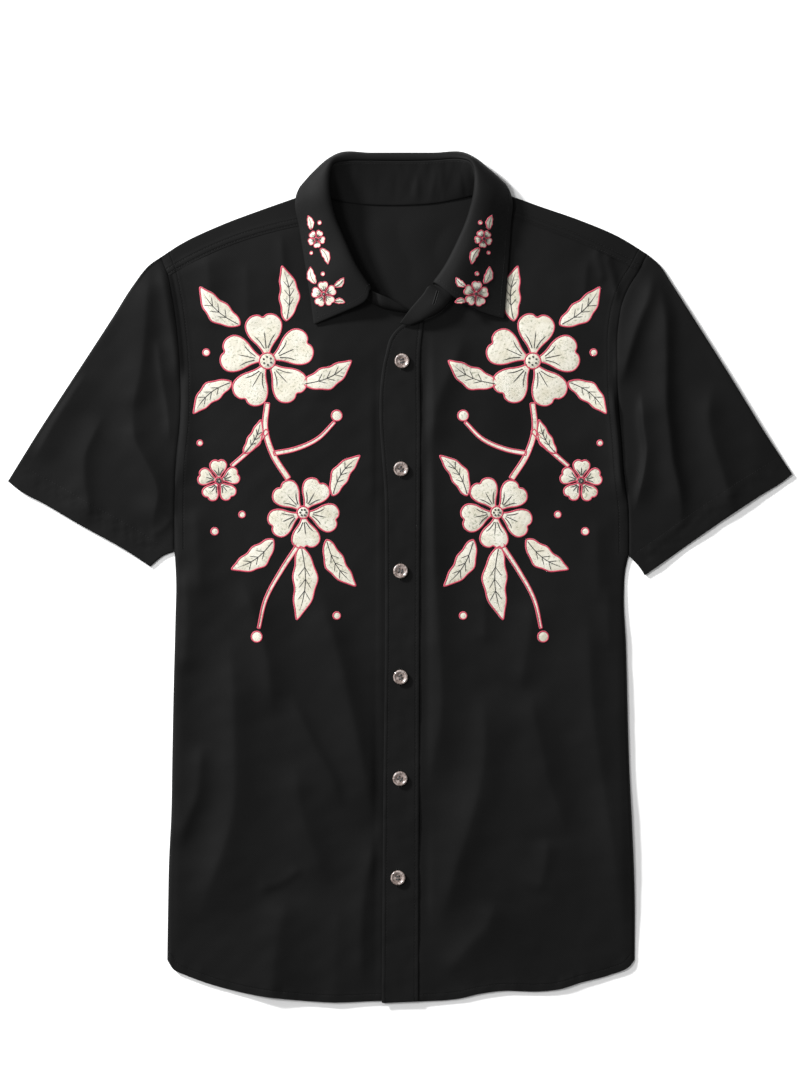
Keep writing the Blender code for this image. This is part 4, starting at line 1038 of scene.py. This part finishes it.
def button_look(name):
    """Marbled grey-brown resin with a polished face."""
    look = Look(name, 0.28, 0.0)
    look.shader.inputs["Coat Weight"].default_value = 0.35
    look.shader.inputs["Coat Roughness"].default_value = 0.12
    swirl = look.noise(1 / 230, 4.0, 2.2)
    marble = look.ramp(swirl, (0.34, (0.07, 0.048, 0.039)), (0.46, (0.17, 0.13, 0.115)),
                       (0.56, (0.28, 0.225, 0.205)), (0.68, (0.46, 0.41, 0.385)))
    cloud = look.ramp(look.noise(0.0022), (0.3, grey(0.7)), (0.7, grey(1.0)))
    look.done(look.mix(0.8, marble, cloud), swirl, 0.0001, 0.15)
    return look.material


# Dips in each piece's cloth, darkened with painted shade: which of its two distances, how far off the line,
# half width, depth (which also sets how dark the painted shade is)
SEAM_DIP, SEWN_DIP = (0.0, 0.9, 0.45), (0.7, 0.4)
FRONT_DIPS = ((0, *SEAM_DIP), (0, ARM_STITCH, *SEWN_DIP), (1, HEM_STITCH, 0.7, 0.35))
YOKE_DIPS = (*((0, stitch, *SEWN_DIP) for stitch in YOKE_STITCHES), (1, ARM_STITCH, *SEWN_DIP),
             (1, *SEAM_DIP))
SLEEVE_DIPS = ((0, *SEAM_DIP), (1, SLEEVE_STITCH, 0.7, 0.12))
BAND_DIPS = ((0, BAND_STITCH, 0.7, 0.45), (1, BAND_STITCH, 0.7, 0.45))
BLACK = (0.0048, 0.0066)
CLOTH_LOOK = cloth_look("black_cloth", *BLACK)
FRONT_LOOK = cloth_look("black_cloth_front", *BLACK, FRONT_DIPS)
YOKE_LOOK = cloth_look("black_cloth_yoke", *BLACK, YOKE_DIPS)
SLEEVE_LOOK = cloth_look("black_cloth_sleeve", *BLACK, SLEEVE_DIPS)
BAND_LOOK = cloth_look("black_cloth_band", *BLACK, BAND_DIPS)
# Painted light: the collar is the body's same black cloth, painted a little lighter for how the light falls
# on it where it stands up
COLLAR_LOOK = cloth_look("black_collar_cloth", 0.0062, 0.0082, specular=0.062)
THREAD_LOOK = thread_look("black_thread", grey(0.006), grey(0.010), sheen=0.03, specular=0.15)
CREAM_LOOK = embroidery_look("cream_stitches")
RED_LOOK = thread_look("red_thread", (0.36, 0.027, 0.058), (0.48, 0.045, 0.085))
VEIN_LOOK = thread_look("vein_thread", grey(0.010), grey(0.016))
# Painted shade: a near-black, barely shiny strip stands in for the shade inside each buttonhole's opening
SLIT_SHADE_LOOK = thread_look("slit_painted_shade", grey(0.001), grey(0.002), sheen=0.0, specular=0.02)
BUTTON_LOOK = button_look("marbled_resin")
BUTTON_THREAD_LOOK = thread_look("button_thread", grey(0.025), grey(0.05))

# ---- cloth ----
NO_SEAM = 99.0         # a distance at which no dip shows
stand_sections, leaf_sections = collar_sections()
stand_surface = wrinkled_stand(stand_grid(stand_sections))

back = cloth_shell("back_cloth", [back_grid()], THIN, CLOTH_LOOK)
yoke_parts = yoke_grids()
yoke_seams = [seam_distances(grid, YOKE_SEAM[side], ARMHOLE[side]) for grid, side in zip(yoke_parts, SIDES)]
yoke_seams.append(np.full((*yoke_parts[2].shape[:2], 2), NO_SEAM))
yoke = cloth_shell("yoke_cloth", yoke_parts, THIN, YOKE_LOOK, seams=yoke_seams)
middles = {"right": LAP_EDGE, "left": [(x - TUCK, y) for x, y in BAND_INNER]}
fronts, sleeves = {}, {}
for side in SIDES:
    grid = front_grid(side, middles[side])
    lines = seam_distances(grid, ARMHOLE[side], HEM[side])
    lines[..., 0][grid[..., 1] < SIDE[side][-1][1] + 1] = NO_SEAM
    fronts[side] = cloth_shell(f"front_{side}_cloth", [grid], THIN, FRONT_LOOK, seams=[lines])
front_right, front_left = fronts["right"], fronts["left"]
grid = band_grid()
band = cloth_shell("placket_cloth", [grid], THIN_BAND, BAND_LOOK, rounded=True,
                   seams=[seam_distances(grid, BAND_FREE, BAND_INNER)])
for side in SIDES:
    grid = sleeve_grid(side)
    sleeves[side] = cloth_shell(f"sleeve_{side}_cloth", [grid], THIN, SLEEVE_LOOK, closed=True,
                                seams=[seam_distances(grid, ARMHOLE[side], SLEEVE_HEM[side])])
stand = cloth_shell("collar_stand_cloth", [stand_surface], THIN_COLLAR, COLLAR_LOOK, rounded=True)
leaf = cloth_shell("collar_leaf_cloth", [leaf_sections], THIN_COLLAR, COLLAR_LOOK, rounded=True)

for piece, solid in ((back, "back_panel"), (yoke, "back_yoke"), (front_right, "front_right"),
                     (front_left, "front_left"), (band, "placket"), (sleeves["right"], "sleeve_right"),
                     (sleeves["left"], "sleeve_left")):
    finish_piece(piece, [solid])
finish_piece(stand, ["collar_stand"])
finish_piece(leaf, ["collar_leaf"])

# ---- buttons ----
BUTTON_STEPS = 56
BUTTON_SHARP = 38      # degrees
HOLE_STEPS = 20
STRAND = 0.24          # radius
# x, z: half of a bar of thread over the button, from the outside in
THREAD_BAR = [(1.7, 0.6), (1.55, 1.5), (1.1, 1.86), (0, 1.95)]
# r, z
SHANK = [(2.1, -0.9), (1.7, -0.7), (1.6, -0.5), (1.7, -0.3), (2.0, -0.1), (2.2, 0.1)]


def rings(profile, steps):
    """The rings of points that a section gives when it is turned round Z."""
    return np.array([np.insert(circle(0, 0, r, steps), 2, z, axis=1) for r, z in profile])


def button_shape():
    """One four-hole button as a mesh, turned from its section and drilled."""
    profile = cut_corners(BUTTON_PROFILE, 1)
    sides = rings(profile[1:-1], BUTTON_STEPS)
    points = np.vstack([sides.reshape(-1, 3), [(0, 0, profile[0][1])], [(0, 0, profile[-1][1])]])
    faces = grid_faces(len(sides), BUTTON_STEPS, closed=True).tolist()
    bottom, top, last = len(points) - 2, len(points) - 1, (len(sides) - 1) * BUTTON_STEPS
    for k in range(BUTTON_STEPS):
        follow = (k + 1) % BUTTON_STEPS
        faces.append((bottom, follow, k))
        faces.append((top, last + k, last + follow))
    blank = mesh_object("button_blank", points, faces, BUTTON_LOOK)
    face_outward(blank.data)
    drills = []
    for x in (-THREAD_SPREAD, THREAD_SPREAD):
        for y in (-THREAD_SPREAD, THREAD_SPREAD):
            ring = circle(x, y, THREAD_HOLE, HOLE_STEPS)
            ends = [tuple(range(HOLE_STEPS - 1, -1, -1)), tuple(range(HOLE_STEPS, 2 * HOLE_STEPS))]
            drill = add_object("drill", new_mesh(
                "drill", np.vstack([np.insert(ring, 2, z, axis=1) for z in (-1, 4)]),
                [(k, (k + 1) % HOLE_STEPS, HOLE_STEPS + (k + 1) % HOLE_STEPS, HOLE_STEPS + k)
                 for k in range(HOLE_STEPS)] + ends))
            cut = blank.modifiers.new("hole", "BOOLEAN")
            cut.operation, cut.object = "DIFFERENCE", drill
            drills.append(drill)
    apply_modifiers(blank, BUTTON_SHARP)
    mesh = blank.data
    for thing in (*drills, blank):
        bpy.data.objects.remove(thing)
    return mesh


def button_threads():
    """Two bars of thread through the holes and the shank under the button."""
    pile = Pile()
    across = np.array((0.0, 1.0, 0.0))
    half = [(-x, z) for x, z in THREAD_BAR]
    for bar in (-THREAD_SPREAD, THREAD_SPREAD):
        for strand in (-0.42, 0.0, 0.42):
            bent = [(x, bar + strand, z) for x, z in half + THREAD_BAR[-2::-1]]
            spots = cut_corners(bent, 2)
            up = np.cross(unit(np.gradient(spots, axis=0)), across)
            pile.rope(circle(0, 0, 1, 6), spots, across, up, STRAND, STRAND)
    pile.add(rings(SHANK, 12))
    thing = pile.object("threads_blank", BUTTON_THREAD_LOOK)
    mesh = thing.data
    bpy.data.objects.remove(thing)
    return mesh


button_mesh, threads_mesh = button_shape(), button_threads()
for number, (x, y, turn) in enumerate(BUTTONS, 1):
    seat = front_height(np.array([[x, y]]))[0] + BUTTON_SEAT
    for label, mesh, slot in (("resin", button_mesh, "button"), ("sewing", threads_mesh, "sewing_thread")):
        piece = add_object(f"button_{number}_{label}", mesh.copy())
        piece.location = Vector((x, y, seat)) * MM
        piece.rotation_euler.z = math.radians(turn)
        finish_piece(piece, [f"button_{number}"] if label == "resin" else ())

# ---- stitches ----
STITCH = dict(length=2.3, pitch=2.9, width=0.42, height=0.34)
STITCH_PITCH = 1.5     # between the points of a sewn line
HEM_ENDS = (20, 215)   # the hem's stitches run between these distances from the middle
NECK_STITCHES = (-62, 64)


def beside(points, offset):
    """The smooth line through the points, moved to its left."""
    line = smooth_line(points)
    return line + aside_of(line) * offset


def sewn(pile, trees, line):
    """A row of stitches along a line of the plan, on the pieces' upper surface."""
    length = run_lengths(line)[-1]
    plan = at_lengths(line, np.linspace(0, length, max(3, int(length / STITCH_PITCH))))
    pile.stitches(*lay(trees, plan), **STITCH)


front_trees = {side: surface_of(fronts[side]) for side in SIDES}
yoke_trees, band_trees = surface_of(yoke), surface_of(band)
seam_piles = {name: Pile() for name in ("body", "sleeves", "collar")}
for side, sign in zip(SIDES, (-1, 1)):
    arm = beside(ARMHOLE[side], sign * ARM_STITCH)
    arm = cut_line(arm, SIDE[side][-1][1] + 2, YOKE_SEAM[side][0][1] - 1)
    sewn(seam_piles["body"], front_trees[side], arm)
    for offset in YOKE_STITCHES:
        sewn(seam_piles["body"], yoke_trees, beside(YOKE_SEAM[side], -sign * offset)[4:-4])
    hem = beside(HEM[side], -sign * HEM_STITCH)
    hem = hem[(np.abs(hem[:, 0]) > HEM_ENDS[0]) & (np.abs(hem[:, 0]) < HEM_ENDS[1])]
    sewn(seam_piles["body"], front_trees[side], hem)
    hem = beside(SLEEVE_HEM[side], -sign * SLEEVE_STITCH)
    sewn(seam_piles["sleeves"], surface_of(sleeves[side]), hem[8:-8])
for points, offset in ((BAND_FREE, BAND_STITCH), (BAND_INNER, -BAND_STITCH)):
    sewn(seam_piles["body"], band_trees, cut_line(beside(points, offset), -401, 240))


def stitch_along(pile, grid, rows, shares, out):
    """A row of stitches along a line in a grid's own rows and shares across, on its outer side."""
    columns = shares * (grid.shape[1] - 1)
    low = np.clip(columns.astype(int), 0, grid.shape[1] - 2)
    base = np.clip(rows.astype(int), 0, grid.shape[0] - 2)
    part, down = (columns - low)[:, None], (rows - base)[:, None]

    def read(values):
        first = values[base, low] * (1 - part) + values[base, low + 1] * part
        second = values[base + 1, low] * (1 - part) + values[base + 1, low + 1] * part
        return first * (1 - down) + second * down

    normal = read(grid_normals(grid)) * out
    pile.stitches(read(grid) + normal * (THIN_COLLAR / 2), normal, **STITCH)


leaf_lengths = np.array([run_lengths(section)[-1] for section in leaf_sections])
rows = np.arange(0.0, len(leaf_sections) - 1, 0.5)
edge_share = 1 - LEAF_STITCH / np.interp(rows, np.arange(len(leaf_lengths)), leaf_lengths)
leaf_out = 1 if grid_normals(leaf_sections)[0, 10, 2] > 0 else -1
stitch_along(seam_piles["collar"], leaf_sections, rows, edge_share, leaf_out)
for end in (0, -1):
    across = np.linspace(0.04, edge_share[end], 40)
    steps = np.linalg.norm(leaf_sections[1:, 15] - leaf_sections[:-1, 15], axis=1)
    inset = LEAF_STITCH / steps[end]
    place = inset if end == 0 else len(leaf_sections) - 1 - inset
    stitch_along(seam_piles["collar"], leaf_sections, np.full(len(across), place), across, leaf_out)
rows = np.arange(*np.searchsorted(stand_surface[:, 8, 0], NECK_STITCHES), 0.5)
stitch_along(seam_piles["collar"], stand_surface, rows, np.full(len(rows), STAND_STITCH_SHARE),
             1 if grid_normals(stand_surface)[len(stand_surface) // 2, 8, 2] > 0 else -1)


def buttonhole(pile, slit_shade, trees, x, y, angle, length):
    """Two bars of close stitches beside the opening, and between them a near-black strip of painted shade
    along the opening.
    """
    ahead = np.array((math.cos(angle), math.sin(angle)))
    aside = np.array((-ahead[1], ahead[0]))
    reach = np.linspace(-0.5, 0.5, 30)[:, None] * length
    # The third cord, between the bars, is the strip of painted shade
    for cords, offset, share, height in ((pile, -1.0, 1.0, 0.22), (pile, 1.0, 1.0, 0.22),
                                         (slit_shade, 0.0, 0.95, 0.12)):
        spots, normals = lay(trees, (x, y) + reach * share * ahead + aside * offset)
        cords.sweep(spots, normals, np.full(30, 1.0), np.full(30, height))


slit_shade = Pile()
for x, y, _ in BUTTONS:
    buttonhole(seam_piles["body"], slit_shade, band_trees, x, y, QUARTER, 17.5)
buttonhole(seam_piles["collar"], slit_shade, surface_of(stand, leaf), 33.9, 265.2, math.radians(73), 13.5)
finish_piece(slit_shade.object("buttonhole_slit_shade", SLIT_SHADE_LOOK))
for name, pile in seam_piles.items():
    finish_piece(pile.object(f"stitches_{name}", THREAD_LOOK))

# ---- embroidery ----
# Flowers: x, y, petals, petal length, petal width, turn of the first petal in degrees
CHEST_FLOWERS = [(-126, 206, 5, 38, 35, 96), (-92, 62, 5, 29, 27, 60), (-172, 92, 5, 17, 16, 20)]
# Leaves: base x y, tip x y, width, bend to the side
CHEST_LEAVES = [
    (-152, 240, -190, 276, 20, 5), (-108, 244, -112, 296, 18, -5), (-92, 184, -46, 206, 20, -5),
    (-160, 186, -196, 156, 18, -5), (-120, 36, -160, 8, 20, 5), (-94, 30, -98, -40, 22, 6),
    (-70, 36, -42, -8, 18, -5), (-64, 78, -38, 116, 16, 5), (-148, 118, -132, 150, 12, -3),
]
# Stems: points, width at each end
CHEST_STEMS = [
    ([(-126, 166), (-128, 142), (-121, 118), (-106, 94)], 4.5, 5.0),
    ([(-126, 140), (-142, 122), (-160, 106)], 4.0, 3.2),
    ([(-120, 118), (-100, 122), (-78, 132), (-62, 148)], 4.0, 2.6),
    ([(-96, 32), (-112, 8), (-128, -22), (-134, -48)], 4.0, 2.4),
]
# Small round dots: x, y, radius
CHEST_DOTS = [(-60, 154, 5.0), (-136, -56, 5.0), (-184, 214, 3.2), (-60, -36, 3.4),
              (-176, 44, 3.4), (-190, 128, 2.6), (-150, 60, 3.0)]
COLLAR_FLOWERS = [(-72, 269, 5, 10, 9.5, 96), (-79, 321, 5, 7, 6.5, 60)]
COLLAR_LEAVES = [(-80, 279, -85, 295, 7.5, 2), (-62, 276, -53, 284, 6, -1.5), (-75, 312, -68, 297, 7, 2),
                 (-62, 262, -52, 261, 5, 1), (-84, 330, -87, 343, 6, -1)]
COLLAR_DOTS = [(-73, 288, 1.8), (-76, 336, 1.8), (-84, 308, 1.5)]
FILL_STEP = 1.7
FILL_CROWN = 0.55
STEM_PITCH = 2.0
OUTLINE = (1.7, 0.6)   # width, height
VEIN = (0.9, 0.4)
KNOT = (0.8, 0.5)
# Shares of a petal's length and width along its upper half
PETAL = [(0.0, 0.05), (0.22, 0.16), (0.5, 0.44), (0.8, 0.52), (1.0, 0.34), (1.03, 0.12), (0.93, 0.0)]


def inside_outline(points, outline):
    """Which points lie inside a closed outline."""
    follow = np.roll(outline, -1, axis=0)
    x, y = points[:, 0][:, None], points[:, 1][:, None]
    crosses = (outline[:, 1] > y) != (follow[:, 1] > y)
    rise = np.where(follow[:, 1] == outline[:, 1], 1e-9, follow[:, 1] - outline[:, 1])
    left = x < outline[:, 0] + (y - outline[:, 1]) * ((follow[:, 0] - outline[:, 0]) / rise)
    return (crosses & left).sum(1) % 2 == 1


def resampled(outline, step):
    """A closed outline as points about a step apart."""
    ring = np.vstack([outline, outline[:1]])
    length = run_lengths(ring)[-1]
    return at_lengths(ring, np.linspace(0, length, max(8, round(length / step)) + 1))[:-1]


def petal_outline(length, width):
    """A notched petal along +X from its foot, before it is turned."""
    upper = [(a * length, b * width) for a, b in PETAL]
    return cut_corners(upper + [(a, -b) for a, b in upper[-2::-1]], 3, closed=True)


def leaf_outline(length, width, bend):
    """A pointed leaf along +X from its foot, before it is turned."""
    t = np.linspace(0, 1, 40)
    half = width / 2 * np.sin(math.pi * t ** 0.85) ** 0.8 * (1 + 0.08 * np.sin(t * 6 * math.pi))
    mid = bend * np.sin(math.pi * t)
    upper, lower = (np.stack([t * length, mid + side], axis=1) for side in (half, -half))
    return np.vstack([upper, lower[::-1][1:-1]])


def turned(points, angle, x, y):
    c, s = math.cos(angle), math.sin(angle)
    return np.asarray(points) @ np.array([(c, s), (-s, c)]) + (x, y)


class Motif:
    """Everything that is stitched on one part of the shirt."""

    def __init__(self, trees, mirror, scale):
        self.trees, self.flip, self.scale = trees, (-1 if mirror else 1, 1), scale
        self.fill, self.red, self.black = Pile(), Pile(), Pile()
        self.uv = []

    def lay(self, plan):
        """Surface points and normals for a plan that is drawn on the shirt's right side."""
        return lay(self.trees, np.asarray(plan) * self.flip)

    def filled(self, outline, angle, crown=FILL_CROWN, edging=OUTLINE):
        """A crowned filling with its stitches across the angle, inside a red cord."""
        edge, fine = resampled(outline, FILL_STEP * 0.9), resampled(outline, 0.5)
        low, high = edge.min(0), edge.max(0)
        grid = np.stack(np.meshgrid(np.arange(low[0], high[0], FILL_STEP),
                                    np.arange(low[1], high[1], FILL_STEP * 0.87)), axis=-1)
        grid[1::2, :, 0] += FILL_STEP / 2
        grid = grid.reshape(-1, 2)
        grid = grid[inside_outline(grid, edge) & (distance_to(grid, fine) > FILL_STEP * 0.45)]
        points = np.vstack([edge, grid])
        made = delaunay_2d_cdt([Vector(p) for p in points], [], [list(range(len(edge)))], 1, 1e-4)
        plan = np.array([tuple(v) for v in made[0]])
        spots, normals = self.lay(plan)
        lift = 0.08 + crown * (1 - np.exp(-distance_to(plan, fine) / 1.6))
        self.fill.add_faces(spots + normals * lift[:, None], made[2])
        self.uv.append(turned(plan, -angle, 0, 0) * MM)
        self.cord(self.red, outline, edging, closed=True)

    def cord(self, pile, line, size, base=0.0, closed=False, step=0.7):
        """A stitched cord along a line of the plan. A line that isn't closed grows thinner."""
        if closed:
            plan = resampled(np.asarray(line, float), step)
        else:
            length = run_lengths(line)[-1]
            plan = at_lengths(line, np.linspace(0, length, max(3, round(length / step) + 1)))
        spots, normals = self.lay(plan)
        reach = run_lengths(plan)
        twist = 0.78 + 0.22 * np.abs(np.sin(math.pi * reach / (step * 2.4)))
        widths, heights = size[0] * self.scale * (0.9 + 0.1 * twist), size[1] * twist
        if closed:
            spots, normals = (np.vstack([a, a[:1]]) for a in (spots, normals))
            widths, heights = (np.append(a, a[0]) for a in (widths, heights))
        else:
            narrow = smooth_step(0, 0.25, 1 - reach / reach[-1]) * 0.7 + 0.3
            widths, heights = widths * narrow, heights * narrow
        pile.sweep(spots + normals * base, normals, widths, heights)

    def flower(self, x, y, petals, length, width, turn):
        """A round flower of notched petals with veins and a knotted middle."""
        for k in range(petals):
            angle = math.radians(turn + 360 * k / petals)
            foot = (x + length * 0.14 * math.cos(angle), y + length * 0.14 * math.sin(angle))
            self.filled(turned(petal_outline(length, width), angle, *foot), angle)
            for spread, reach in ((0.0, 0.62), (0.26, 0.52), (-0.26, 0.52)):
                vein = [(0.18 * length, spread * 0.2 * width), (0.4 * length, spread * 0.7 * width),
                        (reach * length, spread * 1.15 * width)]
                self.cord(self.black, turned(smooth_line(vein), angle, *foot), VEIN, base=FILL_CROWN)
        middle = length * 0.2
        self.filled(circle(x, y, middle, 24), 0.0, FILL_CROWN + 0.5, (OUTLINE[0], OUTLINE[1] + 0.3))
        for k in range(6):
            a = math.radians(60 * k + turn)
            knot = circle(x + middle * 0.5 * math.cos(a), y + middle * 0.5 * math.sin(a),
                          0.7 * self.scale, 8)
            self.cord(self.black, knot, KNOT, base=FILL_CROWN + 0.45, closed=True, step=0.5)

    def leaf(self, x0, y0, x1, y1, width, bend):
        """A pointed leaf with a midrib and side veins."""
        length, angle = math.hypot(x1 - x0, y1 - y0), math.atan2(y1 - y0, x1 - x0)
        self.filled(turned(leaf_outline(length, width, bend), angle, x0, y0), angle + math.radians(60))
        t = np.linspace(0.04, 0.88, 24)
        rib = np.stack([t * length, bend * np.sin(math.pi * t)], axis=1)
        self.cord(self.black, turned(rib, angle, x0, y0), VEIN, base=FILL_CROWN)
        for share in (0.28, 0.44, 0.6) if length > 20 else ():
            for sign in (-1, 1):
                foot = np.array((share * length, bend * math.sin(math.pi * share)))
                tip = foot + (0.13 * length, sign * width * 0.27)
                self.cord(self.black, turned(np.array([foot, (foot + tip) / 2, tip]), angle, x0, y0),
                          (VEIN[0] * 0.8, VEIN[1]), base=FILL_CROWN)

    def stem(self, points, width0, width1):
        """A cream stem between two red outlines."""
        line = smooth_line(points)
        line = evenly(line, max(1, round(run_lengths(line)[-1] / STEM_PITCH)))
        aside = aside_of(line) * (np.linspace(width0, width1, len(line)) / 2)[:, None]
        along = math.atan2(*(line[-1] - line[0])[::-1])
        self.filled(np.vstack([line + aside, (line - aside)[::-1]]), along + math.radians(60), 0.35,
                    (OUTLINE[0] * 0.9, OUTLINE[1]))

    def dot(self, x, y, radius):
        edging = OUTLINE if self.scale < 1 else (OUTLINE[0] * 0.9, OUTLINE[1])
        self.filled(circle(x, y, radius, 28), math.radians(45), edging=edging)

    def objects(self, name):
        """The finished pieces of this motif."""
        fill = self.fill.object(f"{name}_fill", CREAM_LOOK)
        write_layer(fill.data, "stitch", np.vstack(self.uv))
        made = [(fill, "embroidery"), (self.red.object(f"{name}_outline", RED_LOOK), "outline_thread"),
                (self.black.object(f"{name}_veins", VEIN_LOOK), "sewing_thread")]
        return [finish_piece(piece) for piece, slot in made]


def embroidered(name, trees, side, scale, **shapes):
    """The pieces of one motif, from the tables of its shapes."""
    motif = Motif(trees, side == "left", scale)
    for kind, table in shapes.items():
        for row in table:
            getattr(motif, kind)(*row)
    return motif.objects(name)


chest_pieces, collar_pieces = {}, []
for side in SIDES:
    chest_pieces[side] = embroidered(
        f"embroidery_{side}", front_trees[side], side, 1.0, stem=CHEST_STEMS, leaf=CHEST_LEAVES,
        flower=CHEST_FLOWERS, dot=CHEST_DOTS)
    collar_pieces += embroidered(
        f"embroidery_collar_{side}", surface_of(leaf), side, 0.6, leaf=COLLAR_LEAVES, flower=COLLAR_FLOWERS,
        dot=COLLAR_DOTS)

# ---- floor, light and camera ----
# In metres
FLOOR_HALF = 6.0
FLOOR_LEVEL = -0.0002
PHOTO_HEIGHT = 1.0127  # of the view on the floor
VIEW_MIDDLE = (0.0, 0.0425)
CAMERA_HEIGHT = 4.0
SHARP_LEVEL = 0.003    # the height at which the view has the photo's scale
SENSOR = 36.0          # millimetres

floor = add_object("floor", new_mesh("floor", np.array([
    (-FLOOR_HALF, -FLOOR_HALF, FLOOR_LEVEL), (FLOOR_HALF, -FLOOR_HALF, FLOOR_LEVEL),
    (FLOOR_HALF, FLOOR_HALF, FLOOR_LEVEL), (-FLOOR_HALF, FLOOR_HALF, FLOOR_LEVEL)]) / MM, [(0, 1, 2, 3)]))
floor_look = Look("pale_floor", 0.9, specular=0.1)
floor_look.fill(floor_look.shader.inputs["Base Color"], grey(0.9))
floor.data.materials.append(floor_look.material)

world = bpy.data.worlds.new("studio")
bpy.context.scene.world = world
world.use_nodes = True
world.node_tree.nodes["Background"].inputs["Color"].default_value = (1.0, 1.0, 1.0, 1.0)
world.node_tree.nodes["Background"].inputs["Strength"].default_value = 0.42

# x y z, diameter, power; each light aims at the middle of the shirt
for name, spot, size, power in (("key", (-2.4, 2.0, 1.40), 0.5, 240), ("fill", (-1.7, 0.7, 2.8), 0.9, 50)):
    lamp = bpy.data.lights.new(name, "AREA")
    lamp.shape, lamp.size, lamp.energy = "DISK", size, power
    light = add_object(name, lamp)
    light.location = spot
    light.rotation_mode = "QUATERNION"
    light.rotation_quaternion = (-Vector(spot)).to_track_quat("-Z", "Y")

camera_data = bpy.data.cameras.new("camera")
camera_data.sensor_width = SENSOR
camera_data.lens = SENSOR * (CAMERA_HEIGHT - SHARP_LEVEL) / PHOTO_HEIGHT
camera_data.clip_end = 50.0
camera = add_object("camera", camera_data)
camera.location = (*VIEW_MIDDLE, CAMERA_HEIGHT)
bpy.context.scene.camera = camera
bpy.context.scene.view_settings.view_transform = "Standard"
